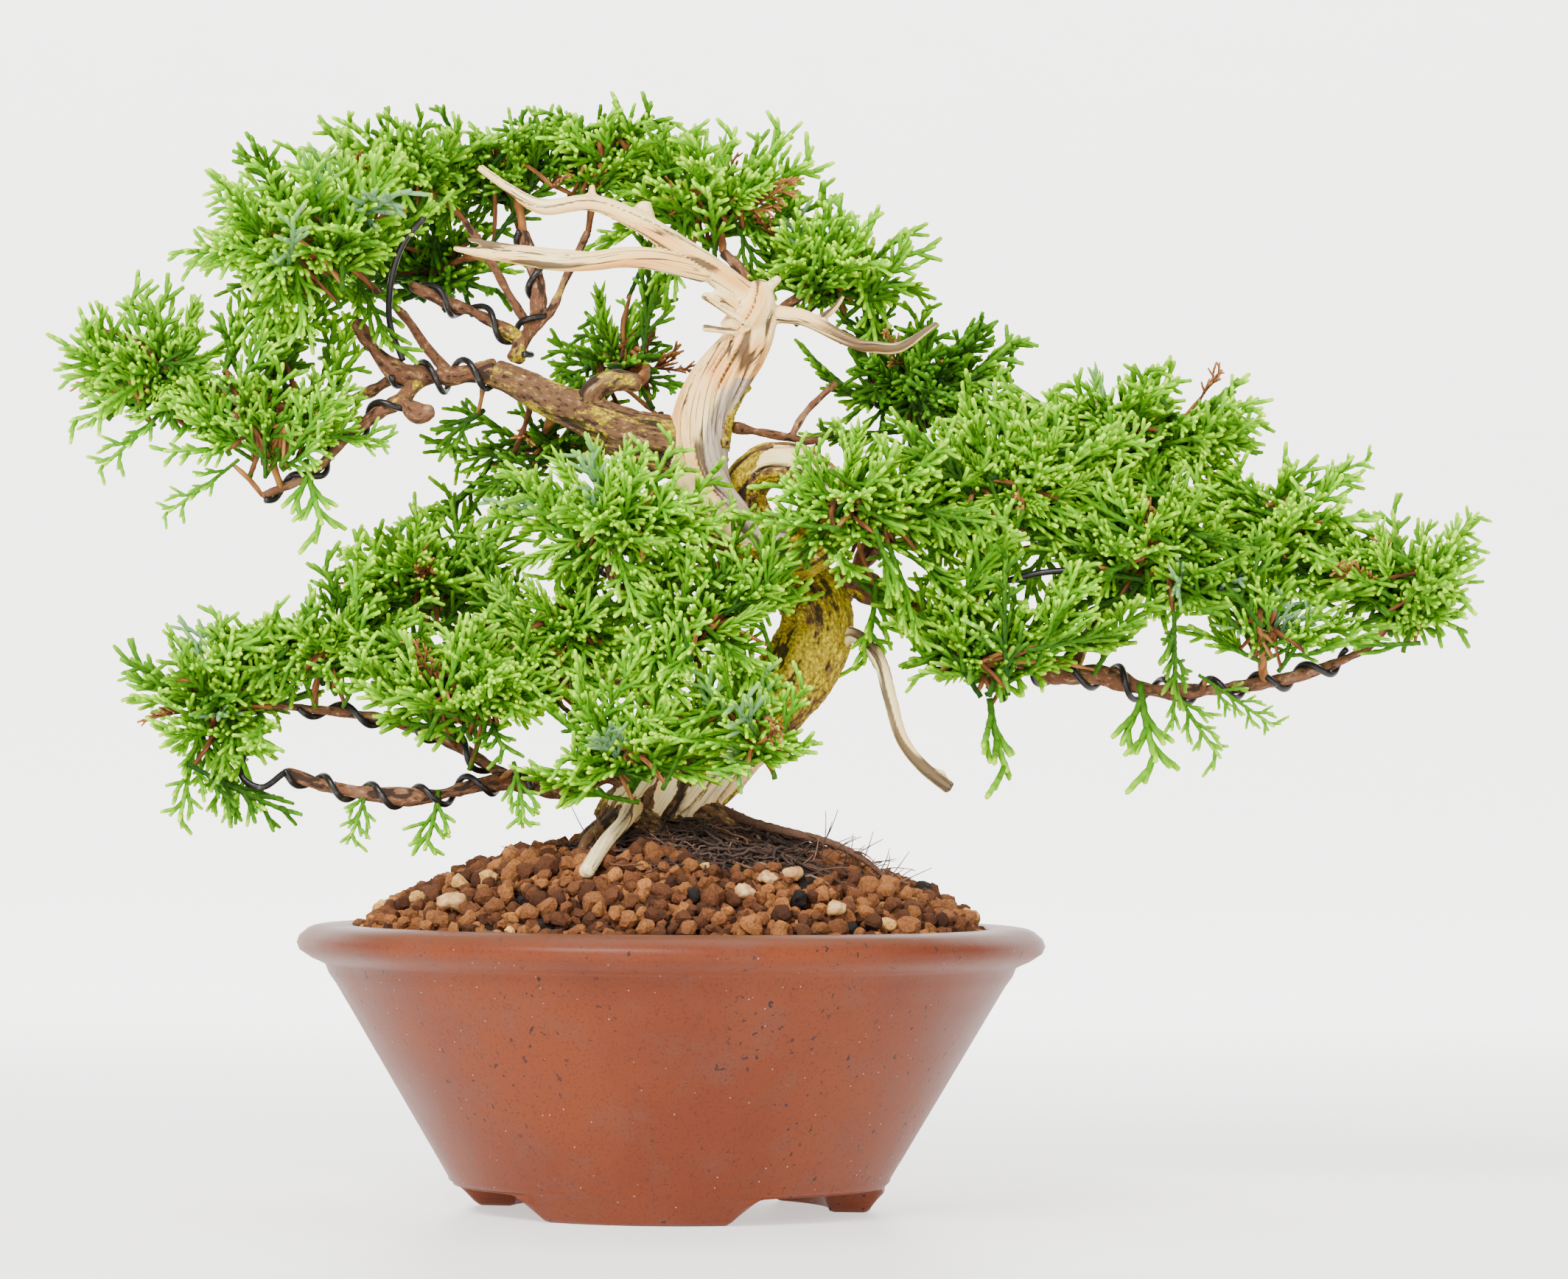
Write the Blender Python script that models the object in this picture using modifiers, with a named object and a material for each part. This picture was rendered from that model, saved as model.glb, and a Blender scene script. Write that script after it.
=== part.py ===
"""A juniper bonsai in a round, three-footed, unglazed pot.

The pot, its drainage, the soil and the root ball are turned about the pot's axis. The tree is
drawn in millimetres from the soil's crest on that axis, +X to the right of its front, -Y to the
front, and TREE_SCALE grows all of it. The origin is under the middle of the whole object.
"""

import math

import bmesh
import bpy
import numpy as np
from mathutils import Vector, noise

MM = 0.001

# Driving dimensions, in metres
POT_AXIS_X = -0.0237  # the tree leans out to the right, so the pot stands left of the origin
POT_HEIGHT = 0.0686
RIM_RADIUS = 0.0903
RIM_WIDTH = 0.0133  # across the flat top of the lip
LIP_DEPTH = 0.0094  # from the top of the lip down to the crease under it
LIP_OVERHANG = 0.0067  # of the lip beyond the crease
COLLAR = 0.0029  # from the crease in to the top of the straight cone
BASE_RADIUS = 0.0519
FOOT_HEIGHT = 0.0068
FOOT_RING_WIDTH = 0.0095
FOOT_BATTER = 0.0039  # how far a foot's outer face leans in
FOOT_COUNT = 3
FOOT_TURN = math.radians(-9)  # the front foot, measured from the front towards the right
FOOT_GAP_ANGLE = math.radians(66)  # between two feet, where they meet the table
FOOT_SLOPE = math.radians(47)  # of a foot's ends
WALL = 0.0062
FLOOR = 0.0060
DRAIN_HOLE_RADIUS = 0.0095
TIE_HOLE_RADIUS = 0.0022
TIE_HOLE_X = 0.0240  # the two tie holes lie either side of the axis, behind it
TIE_HOLE_Y = 0.0200
NET_SIDE = 0.0340
NET_THICKNESS = 0.0010
NET_BAR = 0.0024  # width of the net's bars
NET_CELLS = 4  # openings along a side
TIE_WIRE_RADIUS = 0.0007
DRAINAGE_DEPTH = 0.0105
MOUND_RISE = 0.0194  # the soil's crest above the lip
ROOT_BALL_X = 0.0060  # its axis, to the right of the pot's
ROOT_BALL_RADIUS = 0.0400
ROOT_BALL_RISE = 0.0055  # its top above the soil's crest
ROOT_BALL_BED = 0.0087  # the soil between it and the drainage layer
TRAINING_WIRE_RADIUS = 0.0008
WIRE_PITCH = 0.0098  # along the branch, for one turn
TREE_SCALE = 1.0
CLEARANCE = 0.0003

# Worked out from them
CREST = POT_HEIGHT + MOUND_RISE
INNER_RADIUS = RIM_RADIUS - RIM_WIDTH
FLOOR_TOP = FOOT_HEIGHT + FLOOR
DRAINAGE_TOP = FLOOR_TOP + DRAINAGE_DEPTH
NET_CORNER = NET_SIDE / math.sqrt(2)
NET_PITCH = (NET_SIDE - NET_BAR) / NET_CELLS
CONE_TOP = POT_HEIGHT - 1.5 * LIP_DEPTH
CONE_TOP_RADIUS = RIM_RADIUS - LIP_OVERHANG - COLLAR
CONE_BOTTOM = FOOT_HEIGHT + 0.0015
CONE_BOTTOM_RADIUS = BASE_RADIUS + 0.0016
FLOOR_FILLET = 0.0025
MOUND_RADIUS = INNER_RADIUS - 2 * MM
MOUND_EDGE = POT_HEIGHT - MM

TURN_STEPS = 36
TUBE_RINGS = {4: 0, 6: 1, 8: 2}  # sides of a tube to its curve's bevel_resolution

# The lip's section, top to bottom: shares of its overhang in from the rim, and of its depth down
LIP_SECTION = [
    (0.866, 0), (0.388, 0.096), (0.09, 0.277), (0, 0.457), (0.134, 0.66), (0.612, 0.862), (1, 1),
]

# The tree's wood: x, y, z and radius in millimetres from the soil's crest on the pot's axis
TRUNK = [
    (-12, 4, 1, 10), (-3, 3, 10, 11), (7, 1, 19, 10.5), (16, 0, 28, 9.6), (26, 0, 38, 9),
    (33, 1, 48, 8.8), (34.5, 3, 57, 8.2), (29.5, 6, 65.5, 7.4), (22.5, 8, 73, 6.6),
    (17.5, 8, 80.5, 5.6), (17, 5, 87.5, 5.2), (22.5, 1.5, 92.5, 5.2), (30.5, -1, 91.5, 5.4),
    (37, -4, 85, 5.6), (36.5, -7.5, 76.5, 6), (29, -10.5, 70.5, 6.4), (19.5, -10.5, 72, 6.7),
    (11.5, -8, 79.5, 6.8), (6.5, -5, 88, 6.9), (5.8, -3, 99, 7.1), (9.2, -2, 110, 7),
    (16.3, -2, 120.5, 6.2), (19.5, -2, 127, 5), (20.3, -2, 134, 3.6),
]
LEFT_LIMB = [
    (5, -3, 96, 6.6), (-3, -2, 97, 6.8), (-12, -1, 100, 5.8), (-23, 0, 105, 4.8),
    (-31, 1, 108.5, 4.2), (-40, 2, 113, 3.4),
]
LIMB_ELBOW = [(-21, -1, 105, 2.8), (-20, -2, 110, 3), (-15, -2, 112.5, 2.7), (-9, 0, 112, 2.2)]
UPPER_JIN = [
    (19.2, -3, 131.2, 3.6), (9.2, -8, 138.6, 3.3), (-1.3, -11, 145.4, 2.9), (-9.1, -13, 150.1, 2.5),
    (-20.2, -14, 154.3, 2), (-32.1, -14, 153.3, 1.9), (-40.5, -13, 158, 1.1), (-47.4, -12, 163, 0.8),
]
UPPER_JIN_KNUCKLE = [(-6, -11, 148, 1.9), (-8.1, -11, 154.4, 1.7)]
LOWER_JIN = [
    (7, -9, 138, 2.6), (-4, -13, 140.7, 2.7), (-12, -15, 141.2, 2.4), (-19.6, -16, 140.2, 2.3),
    (-27.5, -17, 139.7, 2.2), (-35.3, -17, 140.7, 2.1), (-45.8, -16, 141.8, 1.4),
    (-53.2, -15, 143.1, 0.7),
]
RIGHT_JIN = [
    (20, -2, 129.2, 2.4), (26.9, -3, 128.5, 2.1), (32.1, -4, 127.4, 2), (42.6, -5, 121.9, 1.6),
    (47.8, -5, 120.9, 1.5), (54.6, -4, 121.1, 1.3), (63.3, -2, 127.2, 0.6),
]
HANGING_JIN = [
    (32, 0, 46, 3), (38.3, -1, 48.5, 2.3), (43.3, -2, 51.3, 1.9), (49.4, -4, 45.7, 1.8),
    (52.3, -6, 36.2, 1.7), (55.1, -7, 26.6, 1.7), (59.9, -8, 20, 1.6), (66.9, -9, 14.3, 1.5),
]
ROOT_FLARE = [(-6, 1, 8, 4.6), (-15, -5, 2, 3.4), (-18, -9, -4, 2.6)]
TRUNK_LIMBS = [
    LEFT_LIMB, LIMB_ELBOW, UPPER_JIN, UPPER_JIN_KNUCKLE, LOWER_JIN, RIGHT_JIN, HANGING_JIN,
    ROOT_FLARE,
]

# What lies over the ground: x, y, height above the root ball or the mound there, and radius
CUT_STUB = [(-9, -4, 5.7, 2.6), (-11, -17, 4.1, 2), (-15, -32, 4.8, 1.9), (-19, -48, 3.0, 1.8)]
LONG_ROOT = [
    (12, -4, 3.5, 1.4), (19, -12, 1.8, 1.3), (28, -17, 2.4, 1.1), (38, -18, 4.2, 1),
    (46, -18, 4.6, 0.8), (53, -19, 1.6, 0.6),
]

# Each stem is its main run, then the forks that start inside it
STEMS = {
    "crown_branch": [
        [(-39, 3, 118, 2.6), (-38, 5, 122, 2.6), (-35, 8, 127, 2.2), (-34, 11, 136, 1.8),
         (-38, 13, 150, 1.4)],
        [(-38, 5, 123, 1.7), (-49.4, 4, 129.3, 1.8), (-56, 1, 131.5, 1.6), (-64, -4, 135, 1.3)],
    ],
    "left_branch": [
        [(-44, 2, 114.6, 3), (-49.4, 2, 114.3, 2.8), (-57, 0, 113.2, 2.7), (-66.5, -2, 114.1, 2.5),
         (-72.3, -3, 118.9, 2.1), (-77, -6, 126, 1.6)],
        [(-62, -1, 113, 1.7), (-66, -4, 107.5, 1.8), (-72.3, -5, 103.5, 1.7), (-80, -6, 97, 1.4),
         (-87.5, -8, 89, 1.2), (-98.9, -10, 83.5, 1)],
        [(-67, -1, 114, 1.5), (-76, 3, 109, 1.5), (-86, 6, 106, 1.3), (-100, 6, 107, 1.1),
         (-111.5, 1, 110, 0.9)],
    ],
    "upper_right_stem": [
        [(10.5, 7, 107, 2.4), (15, 11, 116, 2.2), (19, 13, 128, 1.9), (16, 14, 140, 1.5),
         (11, 14, 145.5, 1.2)],
    ],
    "right_twig": [
        [(14, -1, 101.5, 1.4), (26.6, 3, 99.5, 1.3), (34, 7, 99, 1.2), (40, 13, 103, 0.9)],
    ],
    "right_branch": [
        [(42.3, 4.5, 64.5, 3.2), (51, 4, 61, 3.4), (64.6, 1, 55, 3.2), (80, -2, 47.6, 3),
         (93, -4, 42, 2.6), (103, -6, 42, 2.4), (118, -8, 38, 2.1), (141, -8, 40, 1.7),
         (156, -7, 43.8, 1.4), (167, -6, 48.5, 1.1)],
        [(96, -4, 42, 1.7), (99, 1, 49, 1.6), (107, 4, 59, 1.5), (118, 4, 68, 1.3), (131, -1, 73, 1)],
    ],
    "right_upper_branch": [
        [(40.5, 12, 61, 2.8), (48, 15, 73, 2.5), (60, 16, 86, 2.1), (74, 14, 92, 1.8), (86, 11, 95, 1.4)],
    ],
    "middle_left_branch": [
        [(14, 10, 69, 2), (4, 4, 66, 1.9), (-6, -8, 62.5, 1.6), (-13, -18, 62, 1.3)],
    ],
    "lower_left_branch": [
        [(-16.5, 0, 16.5, 2.5), (-26.6, -3, 13.3, 2.3), (-41.8, -7, 15.2, 2),
         (-60.8, -9, 11.4, 1.8), (-79.9, -9, 13.3, 1.5), (-93, -8, 17, 1.2)],
        [(-38, -6, 15, 1.5), (-46, -4, 20, 1.6), (-57, -3, 26.6, 1.5), (-72, -4, 30.5, 1.3),
         (-87.5, -6, 32.5, 1.1), (-96.5, -7, 33, 0.9)],
    ],
    "lower_back_branch": [
        [(10, 13.6, 25, 2.2), (-6, 20, 36, 2.1), (-26, 20, 42, 1.8), (-40, 17, 49, 1.5), (-47, 14, 54, 1.2)],
    ],
    "front_branch": [
        [(13, -12, 27.5, 1.8), (10, -18, 33, 1.7), (7, -22, 38.5, 1.4)],
    ],
}

# Foliage pads: centre and half sizes in millimetres from the same point
PADS = {
    "foliage_far_left": ((-130.5, -4, 114), (19, 14, 13.5)),
    "foliage_left_low": ((-98, -17, 101), (22, 12, 10)),
    "foliage_left_high": ((-88, -20, 146), (22, 17, 15)),
    "foliage_top_left": ((-68, 4, 165), (14, 13, 11)),
    "foliage_top_middle": ((-41, 16, 166), (13, 15, 11)),
    "foliage_apex": ((-18.6, 12, 171), (10, 10, 11)),
    "foliage_top_right": ((9, 17, 160.5), (20.5, 18, 12.5)),
    "foliage_jin_right": ((35, 18, 141.5), (18.5, 16, 10.5)),
    "foliage_behind_jins": ((-15, 29, 120), (18, 14, 13)),
    "foliage_under_limb": ((-33, 31, 97), (18, 14, 8.5)),
    "foliage_crown_back": ((-66, 37, 143), (21, 17, 13)),
    "foliage_middle_left": ((-14, -27, 79), (22, 13, 14)),
    "foliage_loop_front": ((43, -27, 83), (14.5, 10, 13)),
    "foliage_right_back": ((60, 29, 116), (20, 16, 15)),
    "foliage_right_inner": ((80, -14, 88), (21, 14, 13)),
    "foliage_right_top": ((113, 8, 101), (23, 17, 12.5)),
    "foliage_right_outer": ((147, -6, 79), (14, 13, 12)),
    "foliage_right_tip": ((178, -8, 64), (18, 14, 13)),
    "foliage_right_front": ((112, -21, 71), (19, 13, 14)),
    "foliage_right_edge": ((141, -22, 54), (15.5, 10, 7.5)),
    "foliage_right_low": ((74, -20, 45), (16, 10.5, 13)),
    "foliage_right_rear": ((94, 42, 80), (23, 18, 13)),
    "foliage_low_far_left": ((-112, -8, 34), (13.5, 13, 18)),
    "foliage_low_left": ((-83, -12, 48), (12.5, 12, 11)),
    "foliage_low_left_top": ((-61, 12, 66), (17, 16, 11)),
    "foliage_low_left_front": ((-49, -28, 38), (17, 12.5, 13)),
    "foliage_low_middle": ((-27, -6, 51), (13.5, 12.5, 12)),
    "foliage_low_front": ((-11, -35, 20), (15.5, 11, 10.5)),
    "foliage_front_high": ((6, -28, 54), (15, 11, 12.5)),
    "foliage_front_low": ((20, -31, 26), (10.5, 10, 13.5)),
    "foliage_low_rear": ((-34, 45, 46), (22, 18, 13)),
}
PAD_SEGMENTS, PAD_RINGS = 10, 7
PAD_LUMP = 0.14  # how far the surface wanders, as a share of the pad's half size
PAD_LUMP_GRAIN = 1.4

# Training wires: the stem run that each is wound round, and where on it, as shares of its length
TRAINING_WIRES = {
    "wire_right": ("right_branch", 0, 0.52, 0.93),
    "wire_left_drop": ("left_branch", 1, 0.14, 0.92),
    "wire_left": ("left_branch", 0, 0.03, 0.4),
    "wire_lower_left": ("lower_left_branch", 0, 0.38, 0.95),
}

# Pale pebbles on the mound: place seen from above, and half sizes, in millimetres
PEBBLES = {
    "pebble_left": ((-50, -49), (4.2, 3.2, 2.3)),
    "pebble_front": ((18, -60), (2.9, 2.6, 2.1)),
    "pebble_middle": ((23, -50), (3.1, 2.4, 2)),
    "pebble_upper": ((29, -43), (3, 2.4, 1.9)),
    "pebble_right": ((39, -58), (2.8, 2.4, 2.1)),
}


def clear_scene():
    for obj in list(bpy.data.objects):
        bpy.data.objects.remove(obj, do_unlink=True)


def collection(name, hidden=False):
    made = bpy.data.collections.new(name)
    bpy.context.scene.collection.children.link(made)
    made.hide_render = hidden
    return made


clear_scene()
PARTS = collection("bonsai")
HELPERS = collection("helpers", hidden=True)


def material(name, colour, roughness, metallic=0.0):
    made = bpy.data.materials.new(name)
    made.use_nodes = True
    shader = made.node_tree.nodes["Principled BSDF"]
    shader.inputs["Base Color"].default_value = (*colour, 1.0)
    shader.inputs["Roughness"].default_value = roughness
    shader.inputs["Metallic"].default_value = metallic
    made.diffuse_color = (*colour, 1.0)
    return made


CLAY = material("unglazed_clay", (0.32, 0.11, 0.07), 0.42)
NET = material("black_net", (0.02, 0.02, 0.02), 0.6)
WIRE = material("dark_wire", (0.035, 0.028, 0.025), 0.38, 0.9)
PUMICE = material("pumice", (0.55, 0.47, 0.36), 0.95)
AKADAMA = material("akadama", (0.25, 0.09, 0.04), 0.95)
ROOTS = material("fine_roots", (0.03, 0.018, 0.012), 0.95)
BARK = material("mossy_bark", (0.30, 0.21, 0.08), 0.9)
TWIG = material("stem_bark", (0.20, 0.10, 0.05), 0.9)
LEAF = material("juniper_leaf", (0.09, 0.34, 0.03), 0.55)
PEBBLE = material("pale_pebble", (0.75, 0.44, 0.17), 0.85)


def keep(obj, finish, helper=False):
    """Puts an object in its collection with its material."""
    (HELPERS if helper else PARTS).objects.link(obj)
    obj.hide_render = helper
    if helper:
        obj.display_type = "WIRE"
    obj.data.materials.append(finish)
    return obj


def shade(obj, angle=math.radians(40)):
    obj.data.shade_smooth()
    obj.data.set_sharp_from_angle(angle=angle)
    return obj


def cut(obj, cutter, operation="DIFFERENCE"):
    step = obj.modifiers.new(f"{operation.lower()} {cutter.name}", "BOOLEAN")
    step.operation = operation
    step.object = cutter
    step.solver = "EXACT"


def turned(name, profile, finish, axis_x=POT_AXIS_X, helper=False):
    """A solid of revolution. The profile is (radius, height), running down its outer side."""
    mesh = bpy.data.meshes.new(name)
    edges = [(i, (i + 1) % len(profile)) for i in range(len(profile))]
    on_axis = profile[0][0] == 0 and profile[-1][0] == 0
    mesh.from_pydata([(r, 0, z) for r, z in profile], edges[:-1] if on_axis else edges, [])
    obj = keep(bpy.data.objects.new(name, mesh), finish, helper)
    obj.location.x = axis_x
    screw = obj.modifiers.new("turn", "SCREW")
    screw.axis = "Z"
    screw.steps = screw.render_steps = TURN_STEPS
    screw.use_merge_vertices = True
    screw.merge_threshold = 0.00001
    screw.use_smooth_shade = True
    return obj


def pot_profile():
    lip = [
        (RIM_RADIUS - inward * LIP_OVERHANG, POT_HEIGHT - down * LIP_DEPTH)
        for inward, down in LIP_SECTION
    ]
    outside = [
        (INNER_RADIUS + MM, POT_HEIGHT),
        *lip,
        (CONE_TOP_RADIUS + MM, POT_HEIGHT - 1.25 * LIP_DEPTH),
        (CONE_TOP_RADIUS, CONE_TOP),
        (CONE_BOTTOM_RADIUS, CONE_BOTTOM),
        (BASE_RADIUS + 0.0012, FOOT_HEIGHT + 0.0003),
        (BASE_RADIUS, FOOT_HEIGHT - 0.0004),
    ]
    foot = [
        (BASE_RADIUS - FOOT_BATTER, 0),
        (BASE_RADIUS - FOOT_BATTER - FOOT_RING_WIDTH, 0),
        (BASE_RADIUS - FOOT_BATTER - FOOT_RING_WIDTH - 1.3 * MM, FOOT_HEIGHT),
        (DRAIN_HOLE_RADIUS, FOOT_HEIGHT),
        (DRAIN_HOLE_RADIUS, FLOOR_TOP),
    ]
    inside = [
        (floor_edge(), FLOOR_TOP),
        (inner_radius(FLOOR_TOP + FLOOR_FILLET), FLOOR_TOP + FLOOR_FILLET),
        (inner_radius(CONE_TOP), CONE_TOP),
        (INNER_RADIUS, POT_HEIGHT - 0.0060),
        (INNER_RADIUS, POT_HEIGHT - 0.0008),
    ]
    return outside + foot + inside


def inner_radius(height):
    """Radius of the pot's cavity, a wall's thickness inside its cone."""
    share = min(1.0, (height - CONE_BOTTOM) / (CONE_TOP - CONE_BOTTOM))
    return CONE_BOTTOM_RADIUS + (CONE_TOP_RADIUS - CONE_BOTTOM_RADIUS) * share - WALL


def floor_edge():
    """Radius of the flat part of the cavity's floor."""
    return inner_radius(FLOOR_TOP) - 1.2 * FLOOR_FILLET


def soil_height(radius):
    """Height of the mound at a distance from the pot's axis."""
    share = min(1.0, radius / MOUND_RADIUS)
    return MOUND_EDGE + (CREST - MOUND_EDGE) * (1 - share**2.3)


def ball_crown():
    """The root ball's upper outline, as (radius, height) from its middle out."""
    top, wide = CREST + ROOT_BALL_RISE, ROOT_BALL_RADIUS
    return [
        (0, top),
        (0.40 * wide, top - 0.0012),
        (0.72 * wide, CREST + 0.0005),
        (wide, soil_height(wide) - 0.0005),
    ]


def ground_height(x, y):
    """Height of the mound or the root ball, whichever is higher, at a place from the pot's axis."""
    mound = soil_height(math.hypot(x, y))
    from_ball = math.hypot(x - ROOT_BALL_X, y)
    if from_ball > ROOT_BALL_RADIUS:
        return mound
    radii, heights = zip(*ball_crown())
    return max(mound, float(np.interp(from_ball, radii, heights)))


def foot_gap(number):
    """A wedge that cuts the foot ring open between two feet."""
    ring = BASE_RADIUS
    top = FOOT_HEIGHT - 0.0004
    half_low = ring * math.sin(FOOT_GAP_ANGLE / 2)
    half_high = half_low - top / math.tan(FOOT_SLOPE)
    below = 0.002
    half_below = half_low + below / math.tan(FOOT_SLOPE)
    bpy.ops.mesh.primitive_cube_add(size=1)
    wedge = bpy.context.object
    wedge.name = f"foot_gap_{number}"
    for point in wedge.data.vertices:
        high = point.co.z > 0
        half = half_high if high else half_below
        point.co.x = math.copysign(half, point.co.x)
        point.co.y = -(ring * 1.3 if point.co.y < 0 else ring * 0.45)
        point.co.z = top if high else -below
    for owner in list(wedge.users_collection):
        owner.objects.unlink(wedge)
    keep(wedge, CLAY, helper=True)
    wedge.location.x = POT_AXIS_X
    wedge.rotation_euler.z = FOOT_TURN + (number + 0.5) * math.tau / FOOT_COUNT
    return wedge


def tie_hole(side):
    bpy.ops.mesh.primitive_cylinder_add(
        vertices=12, radius=TIE_HOLE_RADIUS, depth=4 * FLOOR,
        location=(POT_AXIS_X + side * TIE_HOLE_X, TIE_HOLE_Y, FLOOR_TOP),
    )
    hole = bpy.context.object
    hole.name = "tie_hole_right" if side > 0 else "tie_hole_left"
    for owner in list(hole.users_collection):
        owner.objects.unlink(hole)
    return keep(hole, CLAY, helper=True)


def make_pot():
    pot = turned("pot", pot_profile(), CLAY)
    for number in range(FOOT_COUNT):
        cut(pot, foot_gap(number))
    for side in (-1, 1):
        cut(pot, tie_hole(side))


def flat_outline(name, outlines, thickness, finish):
    curve = bpy.data.curves.new(name, "CURVE")
    curve.dimensions = "2D"
    curve.fill_mode = "BOTH"
    curve.extrude = thickness / 2
    for outline in outlines:
        spline = curve.splines.new("POLY")
        spline.points.add(len(outline) - 1)
        spline.use_cyclic_u = True
        for point, (x, y) in zip(spline.points, outline):
            point.co = (x, y, 0, 1)
    return keep(bpy.data.objects.new(name, curve), finish)


def square(x, y, side):
    half = side / 2
    return [(x - half, y - half), (x + half, y - half), (x + half, y + half), (x - half, y + half)]


def make_net():
    """The square of net over the drain hole."""
    places = [(i - (NET_CELLS - 1) / 2) * NET_PITCH for i in range(NET_CELLS)]
    openings = [square(x, y, NET_PITCH - NET_BAR) for x in places for y in places]
    net = flat_outline("drainage_net", [square(0, 0, NET_SIDE)] + openings, NET_THICKNESS, NET)
    net.location = (POT_AXIS_X, 0, FLOOR_TOP + CLEARANCE + NET_THICKNESS / 2)


def tube(name, points, finish, sides=6, helper=False):
    """A tapering tube along (x, y, z, radius) points in metres, as a mesh with closed ends."""
    curve = bpy.data.curves.new(name, "CURVE")
    curve.dimensions = "3D"
    curve.bevel_depth = 1.0
    curve.bevel_resolution = TUBE_RINGS[sides]
    curve.use_fill_caps = True
    spline = curve.splines.new("POLY")
    spline.points.add(len(points) - 1)
    for point, (x, y, z, radius) in zip(spline.points, points):
        point.co = (x, y, z, 1)
        point.radius = radius
    guide = bpy.data.objects.new(name + "_guide", curve)
    bpy.context.scene.collection.objects.link(guide)
    evaluated = guide.evaluated_get(bpy.context.evaluated_depsgraph_get())
    mesh = bpy.data.meshes.new_from_object(evaluated)
    bpy.data.objects.remove(guide, do_unlink=True)
    form = bmesh.new()
    form.from_mesh(mesh)
    bmesh.ops.remove_doubles(form, verts=form.verts, dist=0.000001)
    bmesh.ops.recalc_face_normals(form, faces=form.faces)
    form.to_mesh(mesh)
    form.free()
    mesh.name = name
    mesh.materials.clear()
    return shade(keep(bpy.data.objects.new(name, mesh), finish, helper))


def make_net_clip():
    """The bent wire that holds the net down through the drain hole."""
    leg = NET_PITCH / 2
    over = FLOOR_TOP + 2 * CLEARANCE + NET_THICKNESS + TIE_WIRE_RADIUS
    under = FOOT_HEIGHT - CLEARANCE - TIE_WIRE_RADIUS
    reach = DRAIN_HOLE_RADIUS + 0.006
    half = [(leg, over), (leg, under + 0.001), (leg + 0.001, under), (reach, under)]
    route = [(-x, z) for x, z in reversed(half)] + half
    points = [(POT_AXIS_X + x, NET_PITCH / 2, z, TIE_WIRE_RADIUS) for x, z in route]
    tube("net_clip", points, WIRE, sides=4)


def tie_wire_points(swell=0.0):
    """The anchor wire: under the floor, up both tie holes and bent in over the root ball."""
    under = FOOT_HEIGHT - CLEARANCE - TIE_WIRE_RADIUS
    top = CREST - 0.0035
    half = [
        (TIE_HOLE_X - 0.0014, under),
        (TIE_HOLE_X, under + 0.0014),
        (TIE_HOLE_X, FLOOR_TOP + 0.003),
        (TIE_HOLE_X, top - 0.007),
        (TIE_HOLE_X - 0.003, top - 0.001),
        (TIE_HOLE_X - 0.008, top + 0.0045),
        (TIE_HOLE_X - 0.010, top + 0.0125),
    ]
    route = [(-x, z) for x, z in reversed(half)] + half
    return [(POT_AXIS_X + x, TIE_HOLE_Y, z, TIE_WIRE_RADIUS + swell) for x, z in route]


def make_ground():
    """Drainage layer, soil and root ball, each cut clear of what it lies against."""
    gap = CLEARANCE
    tie_channel = tube("tie_channel", tie_wire_points(gap), WIRE, sides=6, helper=True)
    tube("anchor_wire", tie_wire_points(), WIRE, sides=6)

    net_room = FLOOR_TOP + 3 * gap + NET_THICKNESS + 2 * TIE_WIRE_RADIUS
    drainage = turned("drainage_layer", [
        (0, DRAINAGE_TOP),
        (inner_radius(DRAINAGE_TOP) - 2 * gap, DRAINAGE_TOP),
        (inner_radius(FLOOR_TOP + FLOOR_FILLET) - 2 * gap, FLOOR_TOP + FLOOR_FILLET),
        (floor_edge() - gap, FLOOR_TOP + gap),
        (NET_CORNER + 2 * gap, FLOOR_TOP + gap),
        (NET_CORNER + gap, net_room),
        (0, net_room),
    ], PUMICE)
    cut(drainage, tie_channel)

    low = DRAINAGE_TOP + gap
    shares = (0, 0.25, 0.45, 0.65, 0.82, 0.93, 1)
    mound = [(share * MOUND_RADIUS, soil_height(share * MOUND_RADIUS)) for share in shares]
    walls = [
        (INNER_RADIUS - 2 * gap, POT_HEIGHT - 0.0060),
        (inner_radius(CONE_TOP) - 2 * gap, CONE_TOP),
        (inner_radius(low) - 2 * gap, low),
        (0, low),
    ]
    soil = turned("akadama_soil", mound + walls, AKADAMA)

    ball_top, ball_low = CREST + ROOT_BALL_RISE, DRAINAGE_TOP + ROOT_BALL_BED
    depth = CREST - ball_low
    wide = ROOT_BALL_RADIUS
    ball_profile = ball_crown() + [
        (1.02 * wide, CREST - 0.35 * depth),
        (0.80 * wide, CREST - 0.82 * depth),
        (0.40 * wide, ball_low),
        (0, ball_low),
    ]
    axis = POT_AXIS_X + ROOT_BALL_X
    ball = turned("root_ball", ball_profile, ROOTS, axis)
    pocket_profile = [(0, ball_top + 2 * gap)] + [
        (radius + 2 * gap, height + (2 * gap if height > CREST - 0.010 else 0))
        for radius, height in ball_profile[1:-2]
    ] + [(0.40 * wide + gap, ball_low - 2 * gap), (0, ball_low - 2 * gap)]
    pocket = turned("root_ball_pocket", pocket_profile, ROOTS, axis, helper=True)
    cut(soil, pocket)
    cut(soil, tie_channel)
    cut(ball, tie_channel)
    return ball


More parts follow.
